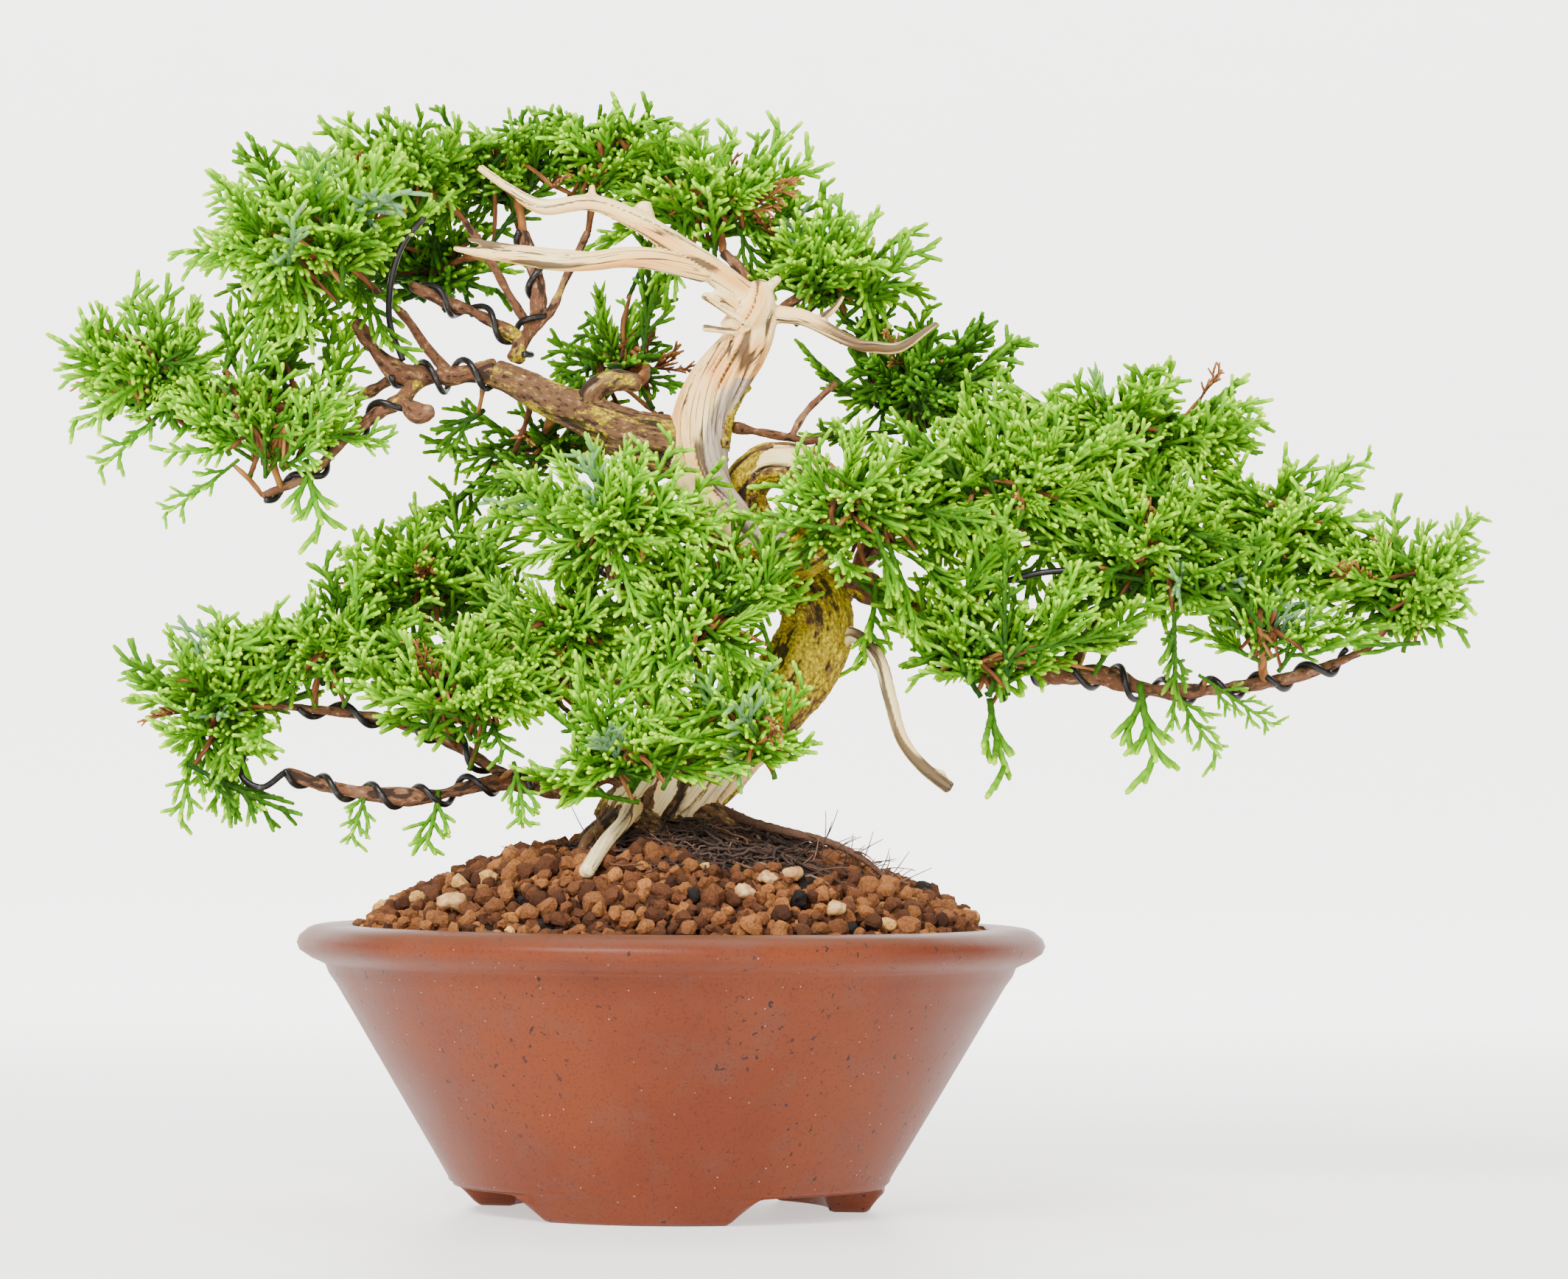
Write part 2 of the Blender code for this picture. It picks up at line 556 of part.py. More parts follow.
def catmull(points, per_span):
    """A smooth run through (x, y, z, radius) points, with per_span steps between each two."""
    run = [Vector(p) for p in points]
    ends = [run[0] * 2 - run[1]] + run + [run[-1] * 2 - run[-2]]
    made = []
    for i in range(1, len(ends) - 2):
        a, b, c, d = ends[i - 1], ends[i], ends[i + 1], ends[i + 2]
        for step in range(per_span):
            t = step / per_span
            made.append(
                0.5 * (2 * b + (c - a) * t + (2 * a - 5 * b + 4 * c - d) * t * t
                       + (3 * b - a - 3 * c + d) * t**3)
            )
    return made + [run[-1]]


def grown(points):
    """Tree points in millimetres from the crest, as metres in the world."""
    size = MM * TREE_SCALE
    return [
        Vector((POT_AXIS_X + x * size, y * size, CREST + z * size, radius * size))
        for x, y, z, radius in points
    ]


def lying(points):
    """Points given by their height above the ground, as tree points."""
    size = MM * TREE_SCALE
    return [
        (x, y, (ground_height(x * size, y * size) - CREST) / size + rise, radius)
        for x, y, rise, radius in points
    ]


def swollen(points, by):
    return [Vector((p[0], p[1], p[2], p[3] + by)) for p in points]


def make_wood(name, runs, finish, sides, steps=1):
    """A main run with its forks joined into one solid."""
    main = tube(name, catmull(grown(runs[0]), steps), finish, sides)
    for number, run in enumerate(runs[1:], 1):
        points = catmull(grown(run), 1)
        cut(main, tube(f"{name}_fork_{number}", points, finish, 6, helper=True), "UNION")


def make_tree(ball):
    make_wood("trunk", [TRUNK] + TRUNK_LIMBS + [lying(CUT_STUB)], BARK, 8, steps=2)
    seat = swollen(catmull(grown(TRUNK[:4]), 2), CLEARANCE * 3)
    cut(ball, tube("trunk_seat", seat, BARK, 8, helper=True))
    flare = swollen(catmull(grown(ROOT_FLARE), 2), CLEARANCE * 3)
    flare[-1] = flare[-1] + (flare[-1] - flare[-2]) * 0.4
    cut(ball, tube("flare_seat", flare, BARK, 6, helper=True))
    for name, runs in STEMS.items():
        make_wood(name, runs, TWIG, 6)


def make_training_wire(name, stem, run, start, end):
    """A wire wound round a stem, clear of its bark."""
    path = catmull(grown(STEMS[stem][run]), 4)
    lengths = [0.0]
    for a, b in zip(path, path[1:]):
        lengths.append(lengths[-1] + (b.to_3d() - a.to_3d()).length)
    total = lengths[-1]
    per_turn = 8
    turns = total * (end - start) / WIRE_PITCH
    count = round(turns * per_turn)
    points = []
    for step in range(count + 1):
        at = total * (start + (end - start) * step / count)
        i = min(max(k for k, length in enumerate(lengths) if length <= at), len(path) - 2)
        share = (at - lengths[i]) / (lengths[i + 1] - lengths[i])
        here = path[i].lerp(path[i + 1], share)
        along = (path[i + 1].to_3d() - path[i].to_3d()).normalized()
        side = along.cross(Vector((0, 0, 1))).normalized()
        other = along.cross(side)
        angle = math.tau * step / per_turn
        off = (side * math.cos(angle) + other * math.sin(angle)) * (
            (here[3] + 2 * CLEARANCE + TRAINING_WIRE_RADIUS) / math.cos(math.pi / per_turn)
        )
        place = here.to_3d() + off
        points.append((*place, TRAINING_WIRE_RADIUS))
    tube(name, points, WIRE, sides=4)


def make_pad(name, centre, halves, seed):
    """One pad of foliage as a lumpy closed form, flatter underneath."""
    mesh = bpy.data.meshes.new(name)
    form = bmesh.new()
    bmesh.ops.create_uvsphere(form, u_segments=PAD_SEGMENTS, v_segments=PAD_RINGS, radius=1)
    for point in form.verts:
        wander = noise.noise(point.co * PAD_LUMP_GRAIN + Vector((seed * 3.1, seed * 1.7, 0)))
        point.co *= 1 - PAD_LUMP * 0.5 + PAD_LUMP * wander
        if point.co.z < 0:
            point.co.z *= 0.8
    size = MM * TREE_SCALE
    for point in form.verts:
        point.co = Vector([point.co[i] * halves[i] * size for i in range(3)])
    form.to_mesh(mesh)
    form.free()
    pad = shade(keep(bpy.data.objects.new(name, mesh), LEAF))
    pad.location = (POT_AXIS_X + centre[0] * size, centre[1] * size, CREST + centre[2] * size)


def make_root():
    tube("long_root", catmull(grown(lying(LONG_ROOT)), 2), ROOTS, sides=6)


def make_pebble(name, place, halves, seed):
    mesh = bpy.data.meshes.new(name)
    form = bmesh.new()
    bmesh.ops.create_icosphere(form, subdivisions=1, radius=1)
    for point in form.verts:
        point.co *= 1 + 0.12 * noise.noise(point.co * 1.3 + Vector((seed, 0, 0)))
        point.co = Vector([point.co[i] * halves[i] * MM for i in range(3)])
    form.to_mesh(mesh)
    form.free()
    pebble = shade(keep(bpy.data.objects.new(name, mesh), PEBBLE))
    x, y = place[0] * MM, place[1] * MM
    inward = math.hypot(x, y) - max(halves[:2]) * MM
    pebble.location = (POT_AXIS_X + x, y, soil_height(inward) + halves[2] * MM * 1.1 + CLEARANCE)


make_pot()
make_net()
make_net_clip()
make_tree(make_ground())
for wire, route in TRAINING_WIRES.items():
    make_training_wire(wire, *route)
for order, (pad, (middle, half_sizes)) in enumerate(PADS.items()):
    make_pad(pad, middle, half_sizes, order)
make_root()
for order, (pebble, (spot, half_sizes)) in enumerate(PEBBLES.items()):
    make_pebble(pebble, spot, half_sizes, order)
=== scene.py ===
import math

import bmesh
import bpy
import numpy as np
from bpy.props import FloatProperty, FloatVectorProperty, IntProperty, PointerProperty
from mathutils import Euler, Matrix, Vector

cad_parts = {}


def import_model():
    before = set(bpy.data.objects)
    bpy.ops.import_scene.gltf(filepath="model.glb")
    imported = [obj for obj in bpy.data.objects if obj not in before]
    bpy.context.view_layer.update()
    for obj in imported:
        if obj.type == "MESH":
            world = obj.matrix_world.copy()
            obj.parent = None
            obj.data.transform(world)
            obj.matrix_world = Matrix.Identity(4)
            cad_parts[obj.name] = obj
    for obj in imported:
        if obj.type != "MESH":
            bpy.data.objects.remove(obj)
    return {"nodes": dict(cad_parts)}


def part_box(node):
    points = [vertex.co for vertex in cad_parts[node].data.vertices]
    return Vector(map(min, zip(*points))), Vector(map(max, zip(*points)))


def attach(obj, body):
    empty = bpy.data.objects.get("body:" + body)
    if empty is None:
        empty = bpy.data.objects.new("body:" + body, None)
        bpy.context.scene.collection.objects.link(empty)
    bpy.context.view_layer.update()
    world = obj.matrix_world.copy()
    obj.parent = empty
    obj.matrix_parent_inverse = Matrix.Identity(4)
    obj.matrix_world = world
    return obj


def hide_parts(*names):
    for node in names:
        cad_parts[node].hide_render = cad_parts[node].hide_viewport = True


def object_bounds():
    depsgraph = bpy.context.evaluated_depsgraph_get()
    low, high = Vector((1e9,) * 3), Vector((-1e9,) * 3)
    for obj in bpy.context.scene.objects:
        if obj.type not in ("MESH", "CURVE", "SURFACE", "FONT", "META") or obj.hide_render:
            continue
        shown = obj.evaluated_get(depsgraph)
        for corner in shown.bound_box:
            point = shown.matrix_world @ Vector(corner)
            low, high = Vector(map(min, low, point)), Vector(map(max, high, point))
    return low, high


# The shapes and finishes of a juniper bonsai in a round unglazed pot.

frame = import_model()
CAD_BOX = [list(corner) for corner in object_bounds()]

bl_info = {
    "name": "Juniper Bonsai",
    "version": (1, 0, 0),
    "blender": (4, 5, 0),
    "location": "View3D > Sidebar > Bonsai",
    "description": "Builds a wired juniper bonsai with deadwood in a round unglazed pot",
    "category": "Add Mesh",
}

MM = 0.001
POT_LOW, POT_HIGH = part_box("pot")
BALL_LOW, BALL_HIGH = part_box("root_ball")
AXIS_X = (POT_LOW.x + POT_HIGH.x) / 2
POT_HEIGHT = POT_HIGH.z
RIM_RADIUS = (POT_HIGH.x - POT_LOW.x) / 2
RIM_WIDTH = 13.3 * MM
INNER_RADIUS = RIM_RADIUS - RIM_WIDTH
CREST = BALL_HIGH.z - 5.5 * MM  # the soil's crest, which the root ball rises above
MOUND_RADIUS = INNER_RADIUS - 2 * MM
FOOT_HEIGHT = 6.8 * MM
FOOT_COUNT = 3
FOOT_TURN = math.radians(-9)
FOOT_GAP_ANGLE = math.radians(66)
FOOT_SLOPE = math.radians(47)
FOOT_RING_RADIUS = 50 * MM
BALL_RADIUS = 40 * MM
BALL_SHIFT = 6 * MM  # the root ball's middle, right of the pot's axis
BALL_SHOULDER = 0.4  # where the root ball's crown ends, as a share of its radius
GOLDEN_ANGLE = 2.399963  # turns each next point so that all lie evenly

# Where the random draws start for each kind of piece
SOIL_SEED, PEBBLE_SEED, ROOT_SEED, SPRAY_SEED, PAD_SEED = 4, 21, 8, 3, 100

# The wood's runs, as (x, y, z, radius, bare, mossy) rows: millimetres from the soil's crest on the
# pot's axis, then how far the bark is gone and how mossy it is, from 0 to 1.
TRUNK = [
    (-12, 4, 1, 10, 0.1, 0.3), (-3, 3, 10, 11, 0.45, 0.3), (7, 1, 19, 10.5, 0.5, 0.5),
    (16, 0, 28, 9.6, 0.45, 0.7), (26, 0, 38, 9, 0.25, 0.9), (33, 1, 48, 8.8, 0.1, 0.9),
    (34.5, 3, 57, 8.2, 0.3, 0.8), (29.5, 6, 65.5, 7.4, 0.4, 0.6), (22.5, 8, 73, 6.6, 0.4, 0.6),
    (17.5, 8, 80.5, 5.6, 0.3, 0.8), (17, 5, 87.5, 5.2, 0.35, 0.9), (22.5, 1.5, 92.5, 5.2, 0.5, 0.8),
    (30.5, -1, 91.5, 5.4, 0.52, 0.6), (37, -4, 85, 5.6, 0.5, 0.6), (36.5, -7.5, 76.5, 6, 0.35, 0.9),
    (29, -10.5, 70.5, 6.4, 0.3, 0.9), (19.5, -10.5, 72, 6.7, 0.45, 0.9), (11.5, -8, 79.5, 6.8, 0.6, 0.8),
    (6.5, -5, 88, 6.9, 0.85, 0.4), (5.8, -3, 99, 7.1, 1, 0), (9.2, -2, 110, 7, 1, 0),
    (16.3, -2, 120.5, 6.2, 1, 0), (19.5, -2, 127, 5, 1, 0), (20.3, -2, 134, 3.6, 1, 0),
]
LEFT_LIMB = [
    (3, 1, 95, 6.9), (-3, -2, 97, 6.8), (-12, -1, 100, 5.8), (-23, 0, 105, 4.8),
    (-31, 1, 108.5, 4.2), (-40, 2, 113, 3.6), (-44, 2, 114.5, 3.3),
]
LIMB_ELBOW = [(-21, -1, 105, 2.8), (-20, -2, 110, 3), (-15, -2, 112.5, 2.7), (-9, 0, 112, 2.2)]
UPPER_JIN = [
    (19.2, -3, 131.2, 3.6), (9.2, -8, 138.6, 3.3), (-1.3, -11, 145.4, 2.9), (-9.1, -13, 150.1, 2.5),
    (-20.2, -14, 154.3, 2), (-32.1, -14, 153.3, 1.9), (-40.5, -13, 158, 1.2), (-47.4, -12, 163, 1),
]
UPPER_JIN_KNUCKLE = [(-5, -11, 147, 1.7), (-6, -11, 149, 1.7), (-8.1, -11, 154.4, 2.2)]
UPPER_JIN_STUB = [(-20, -14, 154, 1.2), (-20.2, -14, 158.6, 0.8)]
LOWER_JIN = [
    (7, -9, 138, 2.6), (-4, -13, 140.7, 2.7), (-12, -15, 141.2, 2.4), (-19.6, -16, 140.2, 2.3),
    (-27.5, -17, 139.7, 2.2), (-35.3, -17, 140.7, 2.1), (-45.8, -16, 141.8, 1.4), (-53.2, -15, 143.1, 0.8),
]
LOWER_JIN_SPLIT = [
    (-20, -16.5, 141.3, 1.1), (-31, -17.5, 142, 1.2), (-42, -17, 143.6, 1), (-50, -15, 145.4, 0.6),
]
RIGHT_JIN = [
    (20, -2, 129.2, 2.4), (26.9, -3, 128.5, 2.1), (32.1, -4, 127.4, 2), (42.6, -5, 121.9, 1.6),
    (47.8, -5, 120.9, 1.5), (54.6, -4, 121.1, 1.3), (63.3, -2, 127.2, 0.7),
]
RIGHT_JIN_FORK = [(34, -4, 127, 1.2), (38, -4, 130, 1), (40.5, -3.5, 133.4, 0.7)]
KNOT_LUMPS = [
    [(14, -3, 124, 4.4), (19, -5, 130, 4.4), (21, -4, 136.5, 2.4)],
    [(16, -5, 129, 2.4), (11, -8, 132, 1.9), (8.6, -9.5, 132.6, 1)],
    [(20, -5, 133, 1.8), (25, -6, 137.5, 1)],
    [(6.6, -9, 132.9, 1.1), (17.1, -8, 126, 0.9)],
    [(6.6, -8.5, 125, 1), (14.5, -8, 124, 0.8)],
]
HANGING_JIN = [
    (32, 0, 46, 3), (38.3, -1, 48.5, 2.4), (43.3, -2, 51.3, 2), (49.4, -4, 45.7, 1.9),
    (52.3, -6, 36.2, 1.8), (55.1, -7, 26.6, 1.7), (59.9, -8, 20, 1.7), (66.9, -9, 14.3, 1.7),
]
HANGING_JIN_SPUR = [(61, -8, 19, 1), (65.6, -9, 17.8, 0.7)]
CUT_STUB = [(-9, -4, 10.2, 2.6), (-11, -17, 6, 2.1), (-15, -32, 1.2, 1.9), (-19, -48, -5.6, 1.9)]
BARK_STUB = [(-12, -5, 8, 2), (-15.5, -12, 5, 1.9), (-19.5, -17, 1.5, 1.7), (-22, -20, -4.5, 1.3)]
ROOT_FLARE = [(-6, 1, 8, 5.2), (-15, -5, 2, 3.6), (-20, -9, -5, 2.6)]
ROOT_FORKS = [
    [(4, 0, 10, 5), (14, -7, 4.5, 3), (21, -12, 0, 1.8)],
    [(-3, 8, 8, 5), (4, 15, 3, 3), (8, 22, -2, 1.8)],
    [(-12, 8, 6, 4.4), (-22, 12, 0, 2.6), (-29, 14, -6, 1.6)],
    [(-8, -2, 7, 4.4), (-3, -14, 2.6, 2.6), (1, -22, 0, 1.6)],
]

STEMS = {
    "crown_branch": [
        [(-39, 3, 118, 2.6), (-38, 5, 122, 2.6), (-35, 8, 127, 2.2), (-34, 11, 136, 1.8), (-38, 13, 150, 1.4)],
        [(-38, 5, 123, 1.7), (-49.4, 4, 129.3, 1.8), (-56, 1, 131.5, 1.6), (-64, -4, 135, 1.3)],
        [(-37, 6, 124, 1.5), (-31, 8, 130, 1.4), (-27, 10, 139, 1.2), (-22, 12, 150, 1)],
        [(-36, 7, 126, 1.3), (-41, 8, 134, 1.2), (-46, 7, 143, 1.1), (-52, 4, 152, 0.9)],
    ],
    "left_branch": [
        [(-44, 2, 114.6, 3.2), (-49.4, 2, 114.3, 2.9), (-57, 0, 113.2, 2.8), (-66.5, -2, 114.1, 2.6),
         (-72.3, -3, 118.9, 2.1), (-77, -6, 126, 1.6)],
        [(-62, -1, 113, 1.9), (-66, -4, 107.5, 1.9), (-72.3, -5, 103.5, 1.8), (-80, -6, 97, 1.4),
         (-87.5, -8, 89, 1.2), (-98.9, -10, 83.5, 1)],
        [(-67, -1, 114, 1.6), (-76, 3, 109, 1.5), (-86, 6, 106, 1.3), (-100, 6, 107, 1.1),
         (-111.5, 1, 110, 0.9)],
        [(-55, 0, 114, 1.4), (-61, 2, 121, 1.3), (-66, 0, 128, 1.2), (-73, -6, 134, 1)],
        [(-66, -5, 107, 1.4), (-62, -7, 104, 2.2), (-58.5, -8, 104.5, 1.6)],
    ],
    "upper_right_stem": [
        [(10.5, 7, 107, 2.4), (15, 11, 116, 2.2), (19, 13, 128, 1.9), (16, 14, 140, 1.5), (11, 14, 145.5, 1.2)],
        [(18.5, 13, 124, 1.6), (25, 15, 131, 1.3), (33, 17, 137, 1)],
    ],
    "right_twig": [
        [(14, -1, 101.5, 1.4), (26.6, 3, 99.5, 1.3), (34, 7, 99, 1.2), (40, 13, 103, 0.9)],
        [(28, 3.5, 99.5, 1), (32, 4, 106, 0.9), (39, 7, 113, 0.7)],
    ],
    "right_branch": [
        [(38, 4, 61, 4), (42.3, 4.5, 64.5, 3.6), (51, 4, 61, 3.6), (64.6, 1, 55, 3.4), (80, -2, 47.6, 3.1),
         (93, -4, 42, 2.8), (103, -6, 42, 2.5), (118, -8, 38, 2.2), (141, -8, 40, 1.7),
         (156, -7, 43.8, 1.4), (167, -6, 48.5, 1.1)],
        [(96, -4, 42, 1.9), (99, 1, 49, 1.7), (107, 4, 59, 1.5), (118, 4, 68, 1.3), (131, -1, 73, 1)],
        [(66, 0, 54, 1.8), (72, -5, 60, 1.5), (77, -9, 68, 1.3), (82, -12, 76, 1)],
    ],
    "right_upper_branch": [
        [(38, 8, 57, 3), (40.5, 12, 61, 2.8), (48, 15, 73, 2.5), (60, 16, 86, 2.1), (74, 14, 92, 1.8),
         (86, 11, 95, 1.4), (98, 9, 97, 1)],
        [(60, 16, 86, 1.6), (60, 21, 97, 1.4), (60, 27, 106, 1)],
    ],
    "middle_left_branch": [
        [(18, 9, 70, 2.3), (14, 10, 69, 2), (4, 4, 66, 1.9), (-6, -8, 62.5, 1.6), (-13, -18, 62, 1.3),
         (-16, -24, 68, 1)],
    ],
    "lower_left_branch": [
        [(-10, 1, 15, 3), (-16.5, 0, 16.5, 2.5), (-26.6, -3, 13.3, 2.3), (-41.8, -7, 15.2, 2),
         (-60.8, -9, 11.4, 1.8), (-79.9, -9, 13.3, 1.5), (-93, -8, 17, 1.2)],
        [(-38, -6, 15, 1.5), (-46, -4, 20, 1.6), (-57, -3, 26.6, 1.5), (-72, -4, 30.5, 1.3),
         (-87.5, -6, 32.5, 1.1), (-96.5, -7, 33, 0.9)],
        [(-57, -3, 26.6, 1.2), (-57, 2, 38, 1.1), (-60, 7, 50, 0.9)],
    ],
    "lower_back_branch": [
        [(14, 6, 22, 2.8), (10, 13.6, 25, 2.2), (-6, 20, 36, 2.1), (-26, 20, 42, 1.8), (-40, 17, 49, 1.5),
         (-47, 14, 54, 1.2)],
        [(-6, 20, 36, 1.5), (-8, 12, 42, 1.3), (-16, 2, 45, 1)],
    ],
    "front_branch": [
        [(14, -8, 26, 2.2), (13, -12, 27.5, 1.8), (10, -18, 33, 1.7), (7, -22, 38.5, 1.4), (6, -25, 46, 1)],
        [(11, -17, 31.5, 1.2), (16, -23, 30, 1.1), (19, -27, 27, 0.9)],
        [(13, -12, 27, 1.3), (4, -20, 24, 1.1), (-5, -28, 22, 0.9)],
    ],
}

# Training wires as (name, stem, run, start, end, turns per 10 mm); these stand for CAD nodes of that name
COILS = [
    ("wire_right", "right_branch", 0, 0.40, 0.97, 0.85),
    ("wire_left_drop", "left_branch", 1, 0.10, 1.0, 0.75),
    ("wire_left", "left_branch", 0, 0.0, 0.62, 0.95),
    ("wire_lower_left", "lower_left_branch", 0, 0.30, 1.0, 0.85),
]
# More of the same, that have no CAD node, then stretches of wire that run free of the wood
EXTRA_COILS = [
    ("wire_crown", "crown_branch", 0, 0.0, 1.0, 0.8),
    ("wire_crown_left", "crown_branch", 1, 0.0, 0.9, 0.7),
    ("wire_lower_left_top", "lower_left_branch", 1, 0.1, 0.9, 0.7),
    ("wire_right_second", "right_branch", 1, 0.0, 0.9, 0.7),
    ("wire_middle_left", "middle_left_branch", 0, 0.3, 1.0, 0.6),
]
FREE_WIRES = {
    "wire_arc_left": [(-66, -3, 117), (-69, -7, 126), (-68, -14, 136), (-65, -18, 144), (-60, -19, 150)],
    "wire_arc_right": [
        (56, -2, 57), (60, -12, 54), (72, -17, 61), (88, -18, 66), (104, -19, 66), (112, -18, 60),
    ],
    "wire_end_curl": [(-93, -11, 17), (-98, -13, 13.5), (-103, -12, 16), (-103, -9, 21)],
}

# Foliage pads: node, mood, and how many sprays for each 100 square millimetres of its outside
PAD_MOODS = {
    "foliage_far_left": ("fresh", 1.25), "foliage_left_low": ("fresh", 1.3),
    "foliage_left_high": ("fresh", 1.7), "foliage_top_left": ("fresh", 1.3),
    "foliage_top_middle": ("shade", 1.1), "foliage_apex": ("fresh", 1.4),
    "foliage_top_right": ("fresh", 1.3), "foliage_jin_right": ("fresh", 1.2),
    "foliage_behind_jins": ("shade", 0.8), "foliage_under_limb": ("shade", 0.8),
    "foliage_crown_back": ("shade", 0.9), "foliage_middle_left": ("fresh", 1.4),
    "foliage_loop_front": ("fresh", 1.5), "foliage_right_back": ("shade", 1.2),
    "foliage_right_inner": ("fresh", 1.7), "foliage_right_top": ("fresh", 1.5),
    "foliage_right_outer": ("fresh", 1.2), "foliage_right_tip": ("fresh", 1.4),
    "foliage_right_front": ("mixed", 1.6), "foliage_right_edge": ("mixed", 1.1),
    "foliage_right_low": ("mixed", 1.5), "foliage_right_rear": ("shade", 0.9),
    "foliage_low_far_left": ("fresh", 1.5), "foliage_low_left": ("mixed", 1.6),
    "foliage_low_left_top": ("mixed", 1.4), "foliage_low_left_front": ("fresh", 1.4),
    "foliage_low_middle": ("fresh", 1.4), "foliage_low_front": ("fresh", 1.4),
    "foliage_front_high": ("mixed", 1.3), "foliage_front_low": ("waxy", 1.5),
    "foliage_low_rear": ("shade", 0.9),
}
# Each mood's middle tone and how far it varies
MOOD_TONES = {"fresh": (0.49, 0.13), "mixed": (0.42, 0.14), "shade": (0.22, 0.10), "waxy": (0.70, 0.07)}
GREENEST, WAXIEST, WITHERED = 0.63, 0.84, 0.95  # the highest green tone, the highest waxy tone, the brown one
WAXY_STRAY = (0.68, 0.80)  # the tones of single waxy sprays in a green pad
# Pads that grow into each other
CLOSE_PADS = (
    "foliage_loop_front", "foliage_right_inner", "foliage_right_front", "foliage_right_top",
    "foliage_right_low", "foliage_low_left", "foliage_low_far_left",
)
NEEDLED_PADS = ("foliage_middle_left", "foliage_low_middle", "foliage_right_inner")
SHORT_REACH = 18 * MM  # nearer to its hub than this, a spray is a short one
# Sprays as (kind, how many, length, from one side cord to the next, side cords' length, spread): millimetres
SPRAY_KINDS = (
    ("full", 9, (19, 26), 2.3, (9.5, 12.5), 0.6),
    ("slim", 5, (24, 31), 3.2, (8, 11), 0.5),
    ("short", 7, (12, 16), 2.3, (8, 10), 0.6),
)

# Sprays that close a gap beside a pad: x, y, z of the gap's middle and how many
FILLS = {
    "foliage_loop_front": [(58, -20, 76, 8), (60, -20, 62, 8), (48, -22, 68, 5)],
    "foliage_right_inner": [(62, -14, 74, 8), (66, 4, 100, 6), (98, -12, 92, 5)],
    "foliage_right_low": [(60, -18, 54, 6), (92, -20, 56, 7)],
    "foliage_right_back": [(72, 12, 106, 8), (46, 20, 100, 5)],
    "foliage_right_front": [(124, -20, 60, 6), (96, -20, 78, 5)],
    "foliage_right_top": [(132, 0, 90, 6), (94, 6, 106, 5)],
    "foliage_right_tip": [(162, -8, 70, 6)],
    "foliage_left_low": [(-98, -4, 122, 6), (-84, -6, 118, 5), (-114, -8, 104, 5)],
    "foliage_left_high": [(-100, -10, 134, 6), (-78, -6, 134, 5)],
    "foliage_low_far_left": [(-108, -12, 16, 8), (-98, -10, 34, 6)],
    "foliage_low_left": [(-96, -8, 44, 6), (-72, -10, 54, 5)],
    "foliage_low_left_front": [(-66, -18, 40, 6)],
    "foliage_front_high": [(22, -24, 60, 6)],
}

# Sprays that hang or reach out of the pads by themselves: pad, base, direction, length in millimetres
LONE_SHORT = 21  # a lone spray shorter than this is a short one
LONE_SPRAYS = [
    ("foliage_low_far_left", (-73, -9, 14), (-0.25, -0.2, -1), 13),
    ("foliage_low_left_front", (-56, -10, 13), (-0.1, -0.3, -1), 15),
    ("foliage_low_left_front", (-37, -30, 20), (0.3, -0.2, -1), 15),
    ("foliage_far_left", (-118, -4, 112), (-1, -0.1, -0.45), 30),
    ("foliage_far_left", (-120, -6, 108), (-0.7, -0.2, -0.8), 26),
    ("foliage_left_low", (-104, -16, 92), (-0.8, -0.1, -0.7), 22),
    ("foliage_left_low", (-88, -16, 92), (0.2, -0.2, -1), 17),
    ("foliage_right_outer", (146, -6, 84), (0.9, 0, 0.5), 24),
    ("foliage_right_tip", (178, -8, 66), (0.8, 0, 0.7), 22),
    ("foliage_right_edge", (118, -16, 42), (0.5, -0.1, -0.9), 24),
    ("foliage_right_edge", (112, -14, 40), (0.1, -0.2, -1), 20),
    ("foliage_right_edge", (126, -14, 42), (0.9, -0.1, -0.6), 22),
    ("foliage_right_low", (76, -16, 36), (0.1, -0.1, -1), 18),
    ("foliage_under_limb", (-40, 20, 96), (-0.2, -0.5, -0.5), 18),
    ("foliage_under_limb", (-22, 20, 94), (0.5, -0.3, -0.5), 18),
    ("foliage_under_limb", (-47, 10, 106), (-0.8, -0.5, -0.6), 17),
]


def world(rows):
    """Rows of (x, y, z, ...) in millimetres from the crest, as metres in the world."""
    out = np.array(rows, float)
    out[:, :4] *= MM
    out[:, 0] += AXIS_X
    out[:, 2] += CREST
    return out


def place(x, y, z):
    """One point in millimetres from the crest, in metres in the world."""
    return np.array((AXIS_X + x * MM, y * MM, CREST + z * MM))


# ---------------------------------------------------------------- numbers and noise


def lattice(cells, seed):
    """A number from -1 to 1 for each whole-numbered cell."""
    mixed = cells[..., 0] * 374761393 + cells[..., 1] * 668265263 + cells[..., 2] * 1274126177 + seed * 974711
    mixed &= 0xFFFFFFFF
    mixed = ((mixed ^ (mixed >> 13)) * 1103515245) & 0xFFFFFFFF
    mixed = ((mixed ^ (mixed >> 15)) * 1274126177) & 0xFFFFFFFF
    return ((mixed >> 8) & 0xFFFF) / 32767.5 - 1


def wander(points, seed=0):
    """Smooth noise from -1 to 1 at each point, with cells one unit wide."""
    low = np.floor(points).astype(np.int64)
    part = points - low
    part = part * part * (3 - 2 * part)
    total = 0
    for corner in np.ndindex(2, 2, 2):
        weight = np.prod(np.where(np.array(corner) == 1, part, 1 - part), axis=-1)
        total = total + weight * lattice(low + np.array(corner), seed)
    return total


def rough(points, layers=3, seed=0):
    """Layers of smooth noise, each finer and weaker than the one before."""
    return sum(wander(points * 2.03**k, seed + 7 * k) * 0.5**k for k in range(layers))


def step_between(low, high, values):
    """Rises smoothly from 0 at low to 1 at high."""
    share = np.clip((values - low) / (high - low), 0, 1)
    return share * share * (3 - 2 * share)


